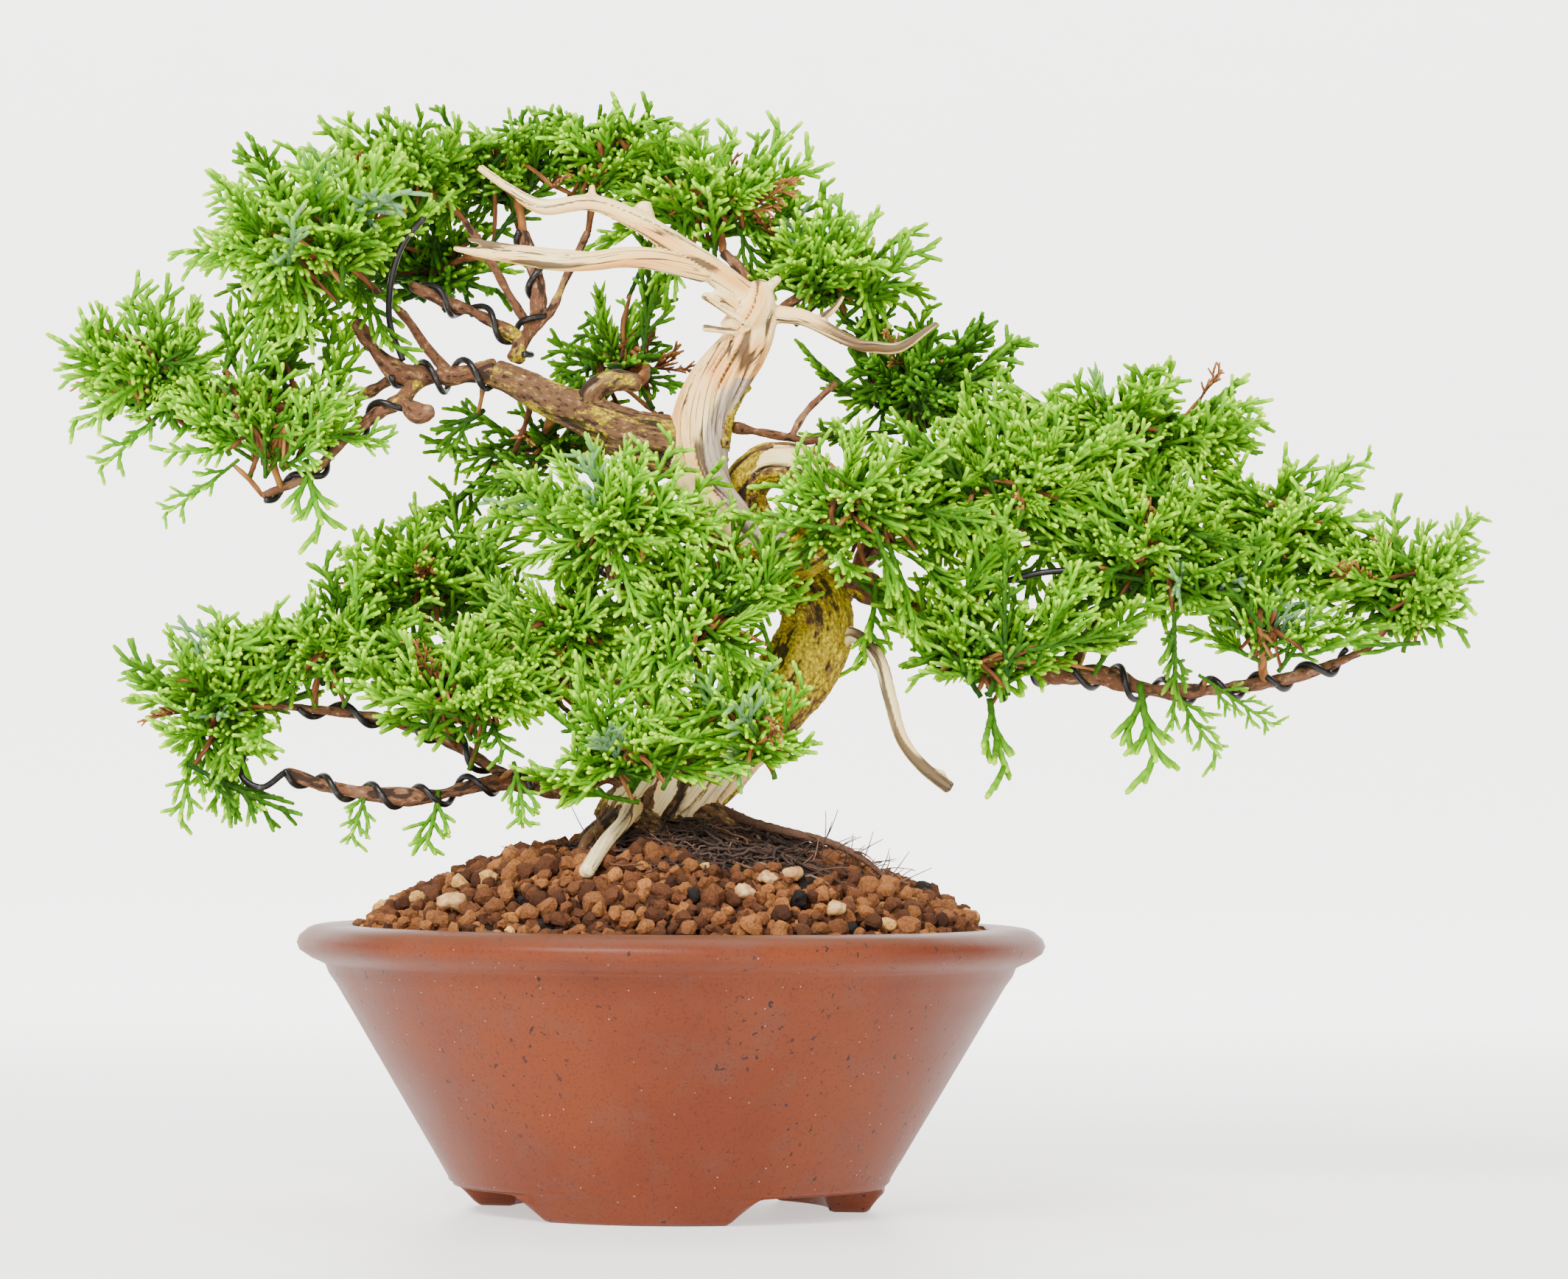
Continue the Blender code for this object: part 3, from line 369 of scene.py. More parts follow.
def unit(vectors):
    return vectors / np.maximum(np.linalg.norm(vectors, axis=-1, keepdims=True), 1e-12)


def smooth_run(rows, step=0.8 * MM):
    """Rows along a Catmull-Rom curve through the given rows, about a step apart."""
    rows = np.array(rows, float)
    ends = np.vstack([2 * rows[0] - rows[1], rows, 2 * rows[-1] - rows[-2]])
    out = []
    for a, b, c, d in zip(ends, ends[1:], ends[2:], ends[3:]):
        count = max(2, int(np.linalg.norm((c - b)[:3]) / step))
        t = np.arange(count)[:, None] / count
        out.append(
            0.5 * (2 * b + (c - a) * t + (2 * a - 5 * b + 4 * c - d) * t**2 + (3 * b - a - 3 * c + d) * t**3)
        )
    return np.vstack(out + [rows[-1:]])


def arc_length(points):
    """How far along a path each of its points lies."""
    return np.concatenate([[0], np.cumsum(np.linalg.norm(np.diff(points, axis=0), axis=1))])


def nearest(rows, at):
    """The row whose first three numbers lie nearest to a point."""
    return rows[np.argmin(np.linalg.norm(rows[:, :3] - at, axis=1))]


def around(sides):
    """The number of each corner of a ring, and of the corner after it."""
    return np.arange(sides), (np.arange(sides) + 1) % sides


def band(rows, sides):
    """The four-cornered faces between each of the rings and the next."""
    here, after = around(sides)
    base = np.arange(rows)[:, None] * sides
    return np.stack([base + here, base + after, base + sides + after, base + sides + here], -1).reshape(-1, 4)


def facing_out(faces):
    """Four-cornered faces turned over, each from the same first corner."""
    return faces[:, (0, 3, 2, 1)]


def rings_round(across, other, sides):
    """Directions from each centre of a path to the corners of the ring round it."""
    angle = np.arange(sides) * math.tau / sides
    return np.cos(angle)[None, :, None] * across[:, None] + np.sin(angle)[None, :, None] * other[:, None]


def carried_frames(centres):
    """Tangent, side and other side at each centre, turned as little as possible on the way."""
    along = unit(np.gradient(centres, axis=0))
    side = np.cross(along[0], (0.3, 0.2, 1.0))
    sides = []
    for ahead in along:
        side = unit(side - ahead * (side @ ahead))
        sides.append(side)
    sides = np.array(sides)
    return along, sides, np.cross(along, sides)


def sweep(centres, radii, sides=12):
    """A round tube with closed ends: its points, quads and triangles."""
    _, across, other = carried_frames(centres)
    points = (centres[:, None] + rings_round(across, other, sides) * radii[:, None, None]).reshape(-1, 3)
    here, after = around(sides)
    first, last = len(points), len(points) + 1
    points = np.vstack([
        points,
        centres[0] - unit(centres[1] - centres[0]) * radii[0] * 0.3,
        centres[-1] + unit(centres[-1] - centres[-2]) * radii[-1] * 0.4,
    ])
    end = (len(centres) - 1) * sides
    caps = np.vstack([
        np.stack([after, here, np.full(sides, first)], -1),
        np.stack([end + here, end + after, np.full(sides, last)], -1),
    ])
    return points, band(len(centres) - 1, sides), caps


def joined(shapes):
    """Several (points, quads, triangles) as one."""
    shift, points, quads, tris = 0, [], [], []
    for p, q, t in shapes:
        points.append(p)
        quads.append(q + shift)
        tris.append(t + shift)
        shift += len(p)
    return np.vstack(points), np.vstack(quads), np.vstack(tris)


def make_mesh(name, points, *faces, smooth=True):
    """A mesh from an array of points and arrays of faces, each with its own number of corners."""
    mesh = bpy.data.meshes.new(name)
    faces = [f for f in faces if len(f)]
    corners = np.concatenate([f.ravel() for f in faces]).astype(np.int32)
    counts = np.concatenate([np.full(len(f), f.shape[1]) for f in faces])
    mesh.vertices.add(len(points))
    mesh.vertices.foreach_set("co", np.ascontiguousarray(points, np.float32).ravel())
    mesh.loops.add(len(corners))
    mesh.loops.foreach_set("vertex_index", corners)
    mesh.polygons.add(len(counts))
    mesh.polygons.foreach_set("loop_start", (np.cumsum(counts) - counts).astype(np.int32))
    mesh.update(calc_edges=True)
    mesh.validate()
    mesh.polygons.foreach_set("use_smooth", np.full(len(mesh.polygons), smooth))
    return mesh


def points_of(mesh):
    """The mesh's points as an array."""
    out = np.empty(len(mesh.vertices) * 3, np.float32)
    mesh.vertices.foreach_get("co", out)
    return out.reshape(-1, 3).astype(float)


def normals_of(mesh):
    """The mesh's normals at its points as an array."""
    out = np.empty(len(mesh.vertices) * 3, np.float32)
    mesh.vertex_normals.foreach_get("vector", out)
    return out.reshape(-1, 3).astype(float)


def move_points(mesh, points):
    mesh.vertices.foreach_set("co", np.ascontiguousarray(points, np.float32).ravel())
    mesh.update()


def paint(mesh, name, values):
    """Stores a value from 0 to 1 in each of up to three channels of a colour attribute."""
    rgba = np.ones((len(mesh.vertices), 4), np.float32)
    rgba[:, :3] = 0
    for channel, column in enumerate(values):
        rgba[:, channel] = np.clip(column, 0, 1)
    mesh.color_attributes.new(name, "FLOAT_COLOR", "POINT").data.foreach_set("color", rgba.ravel())


def set_vectors(mesh, name, vectors):
    """Stores a vector at each point under a name."""
    data = mesh.attributes.new(name, "FLOAT_VECTOR", "POINT").data
    data.foreach_set("vector", np.ascontiguousarray(vectors, np.float32).ravel())


TONE_MAP = "OFBake"


def set_tones(mesh, tones):
    """A map that says only which tone of its material each corner takes."""
    corners = np.empty(len(mesh.loops), np.int32)
    mesh.loops.foreach_get("vertex_index", corners)
    layer = mesh.uv_layers.new(name=TONE_MAP, do_init=False)
    layer.uv.foreach_set("vector", np.ascontiguousarray(tones[corners], np.float32).ravel())


def piece(name, mesh, finish, nodes=()):
    """Adds a finished piece that moves with the pot and stands for the nodes named."""
    made = bpy.data.objects.new(name, mesh)
    bpy.context.scene.collection.objects.link(made)
    made.data.materials.append(finish)
    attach(made, "root")
    if nodes:
        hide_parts(*nodes)
    return made


# ---------------------------------------------------------------- materials


class Recipe:
    """Builds one node material, with a short call for each kind of node."""

    def __init__(self, name):
        self.material = bpy.data.materials.new(name)
        self.material.use_nodes = True
        self.tree = self.material.node_tree
        self.shader = self.tree.nodes["Principled BSDF"]

    def node(self, kind, **settings):
        made = self.tree.nodes.new("ShaderNode" + kind)
        for key, value in settings.items():
            setattr(made, key, value)
        return made

    def feed(self, socket, value):
        if hasattr(value, "is_output"):
            self.tree.links.new(value, socket)
        elif value is not None:
            socket.default_value = value

    def place(self):
        return self.node("TexCoord").outputs["Object"]

    def tones(self):
        """The two numbers that set_tones stored."""
        parts = self.node("SeparateXYZ")
        self.feed(parts.inputs[0], self.node("UVMap", uv_map=TONE_MAP).outputs[0])
        return parts.outputs[0], parts.outputs[1]

    def channels(self, name):
        """The three channels that paint stored under a name."""
        parts = self.node("SeparateColor")
        self.feed(parts.inputs[0], self.node("Attribute", attribute_name=name).outputs["Color"])
        return parts.outputs[0], parts.outputs[1], parts.outputs[2]

    def stretched(self, vector, scale, shift=(0, 0, 0)):
        made = self.node("Mapping")
        self.feed(made.inputs["Vector"], vector)
        made.inputs["Scale"].default_value = scale
        made.inputs["Location"].default_value = shift
        return made.outputs[0]

    def noise(self, vector, scale, detail=3.0, roughness=0.55):
        made = self.node("TexNoise")
        self.feed(made.inputs["Vector"], vector)
        made.inputs["Scale"].default_value = scale
        made.inputs["Detail"].default_value = detail
        made.inputs["Roughness"].default_value = roughness
        return made.outputs["Fac"]

    def cells(self, vector, scale):
        made = self.node("TexVoronoi")
        self.feed(made.inputs["Vector"], vector)
        made.inputs["Scale"].default_value = scale
        return made.outputs["Distance"]

    def between(self, value, low, high, out_low=0.0, out_high=1.0):
        made = self.node("MapRange", interpolation_type="SMOOTHSTEP")
        self.feed(made.inputs["Value"], value)
        for socket, number in zip(("From Min", "From Max", "To Min", "To Max"), (low, high, out_low, out_high)):
            made.inputs[socket].default_value = number
        return made.outputs["Result"]

    def sum(self, kind, a, b=None):
        made = self.node("Math", operation=kind)
        self.feed(made.inputs[0], a)
        self.feed(made.inputs[1], b)
        return made.outputs[0]

    def blend(self, share, a, b, kind="MIX"):
        made = self.node("Mix", data_type="RGBA", blend_type=kind)
        self.feed(made.inputs["Factor"], share)
        self.feed(made.inputs[6], rgba(a))
        self.feed(made.inputs[7], rgba(b))
        return made.outputs[2]

    def ramp(self, value, stops):
        made = self.node("ValToRGB")
        self.feed(made.inputs[0], value)
        elements = made.color_ramp.elements
        while len(elements) < len(stops):
            elements.new(0.5)
        for element, (at, colour) in zip(elements, stops):
            element.position = at
            element.color = rgba(colour)
        return made.outputs[0]

    def bump(self, height, strength, distance):
        made = self.node("Bump")
        self.feed(made.inputs["Height"], height)
        made.inputs["Strength"].default_value = strength
        made.inputs["Distance"].default_value = distance
        self.tree.links.new(made.outputs[0], self.shader.inputs["Normal"])

    def finish(self, colour, roughness, **sockets):
        self.feed(self.shader.inputs["Base Color"], rgba(colour))
        self.feed(self.shader.inputs["Roughness"], roughness)
        for name, value in sockets.items():
            self.shader.inputs[name.replace("_", " ")].default_value = value
        return self.material


def rgba(colour):
    """A colour with full alpha, or the socket that gives one."""
    if hasattr(colour, "is_output"):
        return colour
    return (*tuple(colour)[:3], 1.0)


def clay_finish(settings):
    """Unglazed stoneware: warm patches, dark specks, pinholes and a dusty lip."""
    r = Recipe("unglazed stoneware")
    at = r.place()
    patches = r.noise(at, 26, 3, 0.5)
    colour = r.blend(r.between(patches, 0.36, 0.66), settings.clay, settings.clay_warm)
    haze = r.noise(at, 90, 4, 0.6)
    colour = r.blend(r.between(haze, 0.45, 0.75, 0, 0.45), colour, settings.clay_ash)
    pores = r.noise(r.stretched(at, (1, 1, 0.8)), 1500, 1.5, 0.5)
    colour = r.blend(r.between(pores, 0.52, 0.72, 0, 0.35), colour, settings.clay_dark)
    specks = r.noise(r.stretched(at, (1, 1, 0.75)), 620, 2, 0.5)
    where = r.noise(at, 45, 2, 0.5)
    dark = r.sum("MULTIPLY", r.between(specks, 0.655, 0.70), r.between(where, 0.42, 0.6, 0.25, 1))
    colour = r.blend(dark, colour, (0.03, 0.012, 0.01))
    pins = r.cells(r.stretched(at, (1, 1, 1), (3, 1, 2)), 330)
    colour = r.blend(r.between(pins, 0.03, 0.065, 0.55, 0), colour, (0.75, 0.6, 0.52))
    up = r.node("SeparateXYZ")
    r.feed(up.inputs[0], r.node("NewGeometry").outputs["Normal"])
    dusty = r.sum("MULTIPLY", r.between(up.outputs[2], 0.35, 0.95), r.between(haze, 0.25, 0.6, 0.55, 1))
    colour = r.blend(r.sum("MULTIPLY", dusty, 0.45), colour, settings.clay_dust)
    r.bump(r.sum("SUBTRACT", r.sum("MULTIPLY", haze, 0.6), r.sum("MULTIPLY", dark, 1.2)), 0.25, 0.0006)
    return r.finish(colour, r.between(patches, 0.3, 0.7, 0.38, 0.48), Specular_IOR_Level=0.17)


def wood_finish(name, settings, bark, bark_pale, bark_dark):
    """Bark, moss and bleached wood, told apart by the mesh's own marks, with painted shade in the cracks, splits
    and hollows that the marks show.
    """
    r = Recipe(name)
    bare, mossy, deep = r.channels("marks")
    grain = r.node("Attribute", attribute_name="grain").outputs["Vector"]
    flakes = r.noise(r.stretched(grain, (1, 1, 0.5)), 900, 4, 0.65)
    broad = r.noise(r.stretched(grain, (1, 1, 0.4)), 210, 3, 0.5)
    colour = r.ramp(flakes, [(0.34, bark_dark), (0.45, bark), (0.56, bark), (0.68, bark_pale)])
    colour = r.blend(r.between(broad, 0.52, 0.70, 0, 0.5), colour, bark_pale)
    moss_tone = r.noise(grain, 1300, 3, 0.6)
    moss = r.ramp(moss_tone, [(0.3, settings.moss_dark), (0.5, settings.moss), (0.7, settings.moss_light)])
    spread = r.sum("ADD", mossy, r.between(broad, 0.3, 0.7, -0.42, 0.30))
    spread = r.sum("ADD", spread, r.between(flakes, 0.35, 0.65, -0.16, 0.16))
    colour = r.blend(r.between(spread, 0.40, 0.62, 0, 0.95), colour, moss)
    # Painted shade in the bark's cracks.
    colour = r.blend(r.between(deep, 0.25, 0.9, 0, 0.9), colour, bark_dark)
    fibre = r.noise(r.stretched(grain, (1, 1, 0.045)), 1500, 4, 0.6)
    tint = r.noise(r.stretched(grain, (1, 1, 0.2)), 150, 2, 0.5)
    grey, warm, _ = r.channels("weather")
    pale = r.ramp(tint, [(0.30, settings.jin_warm), (0.42, settings.jin), (0.60, settings.jin_pale)])
    pale = r.blend(r.sum("MULTIPLY", warm, r.between(fibre, 0.3, 0.6, 0.5, 1)), pale, settings.jin_warm)
    pale = r.blend(r.between(r.sum("ADD", grey, fibre), 0.75, 1.15, 0, 0.85), pale, settings.jin_grey)
    # Fine splits drawn as dark lines in the painted crack shade.
    for scale, length, width, strength in ((260, 0.06, 0.020, 0.95), (620, 0.05, 0.014, 0.8)):
        split = r.noise(r.stretched(grain, (1, 1, length), (0.01, 0, 0)), scale, 1.5, 0.5)
        line = r.between(r.sum("ABSOLUTE", r.sum("SUBTRACT", split, 0.5)), 0.3 * width, width, strength, 0)
        shown = r.between(r.noise(r.stretched(grain, (1, 1, 0.3)), 190, 2, 0.5), 0.42, 0.58, 0.0, 1)
        pale = r.blend(r.sum("MULTIPLY", line, shown), pale, settings.jin_crack_shade)
    # Painted shade in the deadwood's carved splits and in the hollow.
    pale = r.blend(r.between(deep, 0.35, 0.95, 0, 0.9), pale, settings.jin_crack_shade)
    edge = r.sum("ADD", bare, r.between(flakes, 0.35, 0.65, -0.12, 0.12))
    colour = r.blend(r.between(edge, 0.46, 0.54), colour, pale)
    height = r.sum("ADD", r.sum("MULTIPLY", flakes, 1.0), r.sum("MULTIPLY", fibre, 0.5))
    r.bump(height, 0.5, 0.0004)
    return r.finish(colour, r.between(bare, 0.4, 0.6, 0.9, 0.68), Specular_IOR_Level=0.3)


def leaf_finish(settings):
    """Scale leaves: the map's first number picks the tone, lower for painted shade deeper in a pad, the second how
    near a tip it is, with painted highlight and shade on the scales.
    """
    r = Recipe("juniper foliage")
    tone, tip = r.tones()
    dull = r.ramp(tip, [(0.0, settings.leaf_deep), (0.5, settings.leaf_shade), (1.0, settings.leaf_mid)])
    fresh = r.ramp(tip, [
        (0.0, settings.leaf_shade), (0.38, settings.leaf_mid),
        (0.70, settings.leaf_fresh), (0.95, settings.leaf_tip),
    ])
    waxy = r.ramp(tip, [
        (0.0, settings.leaf_shade), (0.35, settings.leaf_wax),
        (0.7, settings.leaf_wax), (1.0, settings.leaf_fresh),
    ])
    brown = r.ramp(tip, [(0.0, settings.twig_dark), (0.5, settings.twig), (1.0, settings.twig_pale)])
    colour = r.blend(r.between(tone, 0.12, 0.58), dull, fresh)
    colour = r.blend(r.between(tone, 0.66, 0.80), colour, waxy)
    colour = r.blend(r.between(tone, 0.88, 0.90), colour, brown)
    return r.finish(colour, 0.6, Specular_IOR_Level=0.04)


def tone_finish(name, stops, roughness, specular=0.2):
    """A finish whose colour is read along the map's first number and darkened along its second, which on the soil
    is painted shade.
    """
    r = Recipe(name)
    tone, lit = r.tones()
    colour = r.ramp(tone, stops)
    # Darkening by the map's second number; on the soil this is painted shade on the grains' undersides and in the
    # gaps between them.
    colour = r.blend(lit, r.blend(0.55, colour, (0.01, 0.006, 0.004)), colour)
    grit = r.noise(r.place(), 1500, 3, 0.65)
    colour = r.blend(r.between(grit, 0.35, 0.62, 0.45, 0), colour, (0.03, 0.014, 0.008))
    r.bump(grit, 0.8, 0.0006)
    return r.finish(colour, roughness, Specular_IOR_Level=specular)


def wire_finish(settings):
    """Dark anodised wire, rubbed lighter in places."""
    r = Recipe("anodised training wire")
    rub = r.noise(r.place(), 700, 3, 0.6)
    colour = r.blend(r.between(rub, 0.55, 0.8), settings.wire, settings.wire_worn)
    r.bump(rub, 0.15, 0.0002)
    return r.finish(colour, r.between(rub, 0.35, 0.75, 0.28, 0.46), Metallic=0.55)


def speckled_finish(name, base, light, dark, scale, roughness):
    """A finish speckled in three colours, with fine grit."""
    r = Recipe(name)
    at = r.place()
    grains = r.noise(at, scale, 3, 0.6)
    colour = r.ramp(grains, [(0.3, dark), (0.5, base), (0.72, light)])
    r.bump(grains, 0.6, 0.0006)
    return r.finish(colour, roughness)


# ---------------------------------------------------------------- the pot


def foot_lift(angles):
    """How far the pot's bottom edge is raised at each angle, between its feet."""
    third = math.tau / FOOT_COUNT
    from_gap = np.abs((angles - FOOT_TURN) % third - third / 2)
    reach = (FOOT_GAP_ANGLE / 2 - from_gap) * FOOT_RING_RADIUS * math.tan(FOOT_SLOPE)
    top = FOOT_HEIGHT - 0.4 * MM
    soft = 0.9 * MM
    return np.clip(0.5 * (reach + top - np.sqrt((reach - top) ** 2 + soft**2)), 0, None)


def pot_section(overhang, lip_depth):
    """(radius, height) rows of the pot's wall, from the lip's inner edge down and round to it again."""
    lip_shares = [
        (0.866, 0), (0.6, 0.03), (0.388, 0.096), (0.09, 0.277), (0, 0.457), (0.10, 0.64), (0.52, 0.84),
    ]
    lip = [(RIM_RADIUS - a * overhang, POT_HEIGHT - b * lip_depth) for a, b in lip_shares]
    crease = [
        (RIM_RADIUS - 0.80 * overhang, POT_HEIGHT - 0.925 * lip_depth),
        (RIM_RADIUS - 1.03 * overhang, POT_HEIGHT - 1.01 * lip_depth),
        (RIM_RADIUS - 1.16 * overhang, POT_HEIGHT - 1.24 * lip_depth),
        (RIM_RADIUS - 1.43 * overhang, POT_HEIGHT - 1.5 * lip_depth),
    ]
    top, low = crease[-1], (53.5 * MM, FOOT_HEIGHT + 1.5 * MM)
    cone = [(top[0] + (low[0] - top[0]) * t, top[1] + (low[1] - top[1]) * t) for t in np.linspace(0.06, 1, 44)]
    edge = [(53.2 * MM, FOOT_HEIGHT + 0.6 * MM), (52.5 * MM, FOOT_HEIGHT - 0.3 * MM)]
    face = [(51.9 * MM - 3.9 * MM * t, (FOOT_HEIGHT - 0.9 * MM) * (1 - t)) for t in np.linspace(0, 0.9, 8)]
    sole = [(47.6 * MM, 0.15 * MM), (46.9 * MM, 0), (44 * MM, 0), (40 * MM, 0), (38.8 * MM, 0.3 * MM)]
    under = [
        (37.6 * MM, 3 * MM), (37.2 * MM, FOOT_HEIGHT - 0.3 * MM), (36 * MM, FOOT_HEIGHT), (20 * MM, FOOT_HEIGHT),
    ]
    hole = [
        (9.7 * MM, FOOT_HEIGHT), (9.5 * MM, FOOT_HEIGHT + 0.3 * MM), (9.5 * MM, 12.6 * MM), (9.8 * MM, 12.8 * MM),
    ]
    floor = [(30 * MM, 12.8 * MM), (44.5 * MM, 12.8 * MM), (49.5 * MM, 15.3 * MM)]
    inside = [(74.5 * MM, 54.5 * MM), (76.9 * MM, 62.6 * MM), (77 * MM, 67.4 * MM), (77.4 * MM, 68.3 * MM)]
    ledge = [(78.2 * MM, POT_HEIGHT), (80.5 * MM, POT_HEIGHT + 0.1 * MM), (83 * MM, POT_HEIGHT + 0.05 * MM)]
    return [*lip, *crease, *cone, *edge, *face, *sole, *under, *hole, *floor, *inside, *ledge]


class PotSettings(bpy.types.PropertyGroup):
    overhang: FloatProperty(
        name="Lip overhang", description="How far the lip stands out from the crease under it",
        default=6.7 * MM, unit="LENGTH",
    )
    lip_depth: FloatProperty(
        name="Lip depth", description="From the lip's top to the crease", default=9.4 * MM, unit="LENGTH",
    )
    sides: IntProperty(name="Sides", description="Steps round the pot", default=288, min=24)
    unevenness: FloatProperty(
        name="Unevenness", description="How far the hand-finished wall wanders",
        default=0.16 * MM, unit="LENGTH",
    )
    clay: FloatVectorProperty(
        name="Clay", description="Main colour", subtype="COLOR", default=(0.122, 0.0245, 0.0078),
    )
    clay_warm: FloatVectorProperty(
        name="Warm clay", description="Colour of the warmer patches",
        subtype="COLOR", default=(0.150, 0.0315, 0.0088),
    )
    clay_ash: FloatVectorProperty(
        name="Ash", description="Lilac grey bloom", subtype="COLOR", default=(0.110, 0.041, 0.026),
    )
    clay_dark: FloatVectorProperty(
        name="Pores", description="Colour in the pores", subtype="COLOR", default=(0.042, 0.010, 0.005),
    )
    clay_dust: FloatVectorProperty(
        name="Dust", description="Dry dust on the lip", subtype="COLOR", default=(0.130, 0.058, 0.040),
    )


class BONSAI_OT_pot(bpy.types.Operator):
    """Turns the pot with its rolled lip and three feet"""

    bl_idname = "bonsai.pot"
    bl_label = "Pot"

    def execute(self, context):
        settings = context.scene.bonsai_pot
        rows = np.array(pot_section(settings.overhang, settings.lip_depth))
        sides = settings.sides
        angles = np.arange(sides) * math.tau / sides
        radius = np.repeat(rows[:, :1], sides, 1)
        height = np.repeat(rows[:, 1:], sides, 1)
        lift = foot_lift(angles)[None, :]
        low = height < FOOT_HEIGHT
        height = np.where(low, lift + height * (1 - lift / FOOT_HEIGHT), height)
        batter = (rows[:, 0] > 46 * MM)[:, None] & low  # the feet's outer faces, which lean
        radius = np.where(batter, np.minimum(radius + lift * 0.62, 52.3 * MM), radius)
        turn = np.repeat(angles[None, :], len(rows), 0)
        points = np.stack([radius * np.sin(turn), -radius * np.cos(turn), height], -1).reshape(-1, 3)
        quads = facing_out(band(len(rows), sides)) % len(points)  # the last ring joins the first
        outward = np.stack([np.sin(turn), -np.cos(turn), 0 * turn], -1).reshape(-1, 3)
        uneven = rough(points * 42, 3, 11) * settings.unevenness
        rings = np.sin(points[:, 2] / (2.7 * MM) + 2 * wander(points * 20, 5)) * 0.035 * MM
        wall = (points[:, 2] > FOOT_HEIGHT) & (np.hypot(points[:, 0], points[:, 1]) > 50 * MM)
        inner = np.repeat(rows[:, 0] < 78 * MM, sides) & (points[:, 2] > 12 * MM)
        outside = wall & ~inner & (points[:, 2] < POT_HEIGHT - 3 * MM)
        points += outward * ((uneven + rings) * outside)[:, None]
        points[:, 0] += AXIS_X
        pot = piece("pot_body", make_mesh("pot_body", points, quads), clay_finish(settings), ["pot"])
        pot.data.set_sharp_from_angle(angle=math.radians(50))
        return {"FINISHED"}


class BONSAI_OT_drainage(bpy.types.Operator):
    """Finishes the pieces hidden in the pot: net, clip, anchor wire and drainage layer"""

    bl_idname = "bonsai.drainage"
    bl_label = "Drainage"

    def execute(self, context):
        nodes = frame["nodes"]
        wire = wire_finish(context.scene.bonsai_wood)
        black = (0.022, 0.022, 0.02), (0.04, 0.04, 0.037), (0.012, 0.012, 0.011)
        cream = (0.55, 0.47, 0.36), (0.75, 0.68, 0.56), (0.3, 0.24, 0.17)
        net = speckled_finish("black net", *black, 900, 0.55)
        pumice = speckled_finish("pumice", *cream, 420, 0.95)
        finishes = {"drainage_net": net, "net_clip": wire, "anchor_wire": wire, "drainage_layer": pumice}
        for name, finish in finishes.items():
            nodes[name].data.materials.clear()
            nodes[name].data.materials.append(finish)
        return {"FINISHED"}


# ---------------------------------------------------------------- the ground


def mound_height(x, y):
    """Height of the soil at a place measured from the pot's axis."""
    share = np.minimum(1, np.hypot(x, y) / MOUND_RADIUS)
    edge = POT_HEIGHT - MM
    return edge + (CREST - edge) * (1 - share**2.3)


def ball_height(x, y):
    """Height of the root ball's dome, or far below outside it."""
    away = np.hypot(x - BALL_SHIFT, y) / BALL_RADIUS
    drop = 1.8 * MM
    top = BALL_HIGH.z - drop * (away / BALL_SHOULDER) ** 2
    shoulder = BALL_HIGH.z - drop - (away - BALL_SHOULDER) * 15 * MM
    return np.where(away < BALL_SHOULDER, top, np.where(away < 1.08, shoulder, -1))


def ground_height(x, y, sunk=0.0):
    """Height of whatever lies on top at a place, with the root ball sunk by so much."""
    return max(float(mound_height(x, y)), float(ball_height(x, y)) - sunk)


def crumb(rng, subdivisions, blocky):
    """One soil grain of about unit size: a ball flattened by a few random planes."""
    form = bmesh.new()
    bmesh.ops.create_icosphere(form, subdivisions=subdivisions, radius=1)
    points = np.array([v.co for v in form.verts])
    faces = np.array([[v.index for v in f.verts] for f in form.faces])
    form.free()
    for _ in range(blocky):
        out = unit(rng.normal(size=3))
        depth = rng.uniform(0.55, 0.85)
        over = np.maximum(points @ out - depth, 0)
        points -= over[:, None] * out * 0.85
    points *= 1 + 0.26 * rough(points * 2.1 + rng.uniform(0, 50, 3), 3, 3)[:, None]
    return points * rng.uniform(0.78, 1.15, 3), faces


def turned_by(rng, points):
    """Points turned any way about the origin."""
    spin = Euler(rng.uniform(0, math.tau, 3)).to_matrix()
    return points @ np.array(spin).T


def heap(rng, variants, buried, places, sizes, tones, shades, deep):
    """Grains of random variants at the places given, as points, faces and tones, each grain with painted shade
    towards its underside.
    """
    points, faces, uv, shift = [], [], [], 0
    for at, size, tone, shade, low_layer in zip(places, sizes, tones, shades, deep):
        stock = buried if low_layer else variants
        p, f = stock[rng.integers(len(stock))]
        p = turned_by(rng, p) * size
        # Painted shade: each grain grows darker towards its underside.
        low = np.clip(0.5 + p[:, 2] / size * 0.6, 0, 1)
        points.append(p + at)
        faces.append(f + shift)
        uv.append(np.stack([np.full(len(p), tone), shade * (0.45 + 0.55 * low)], -1))
        shift += len(p)
    return np.vstack(points), np.vstack(faces), np.vstack(uv)


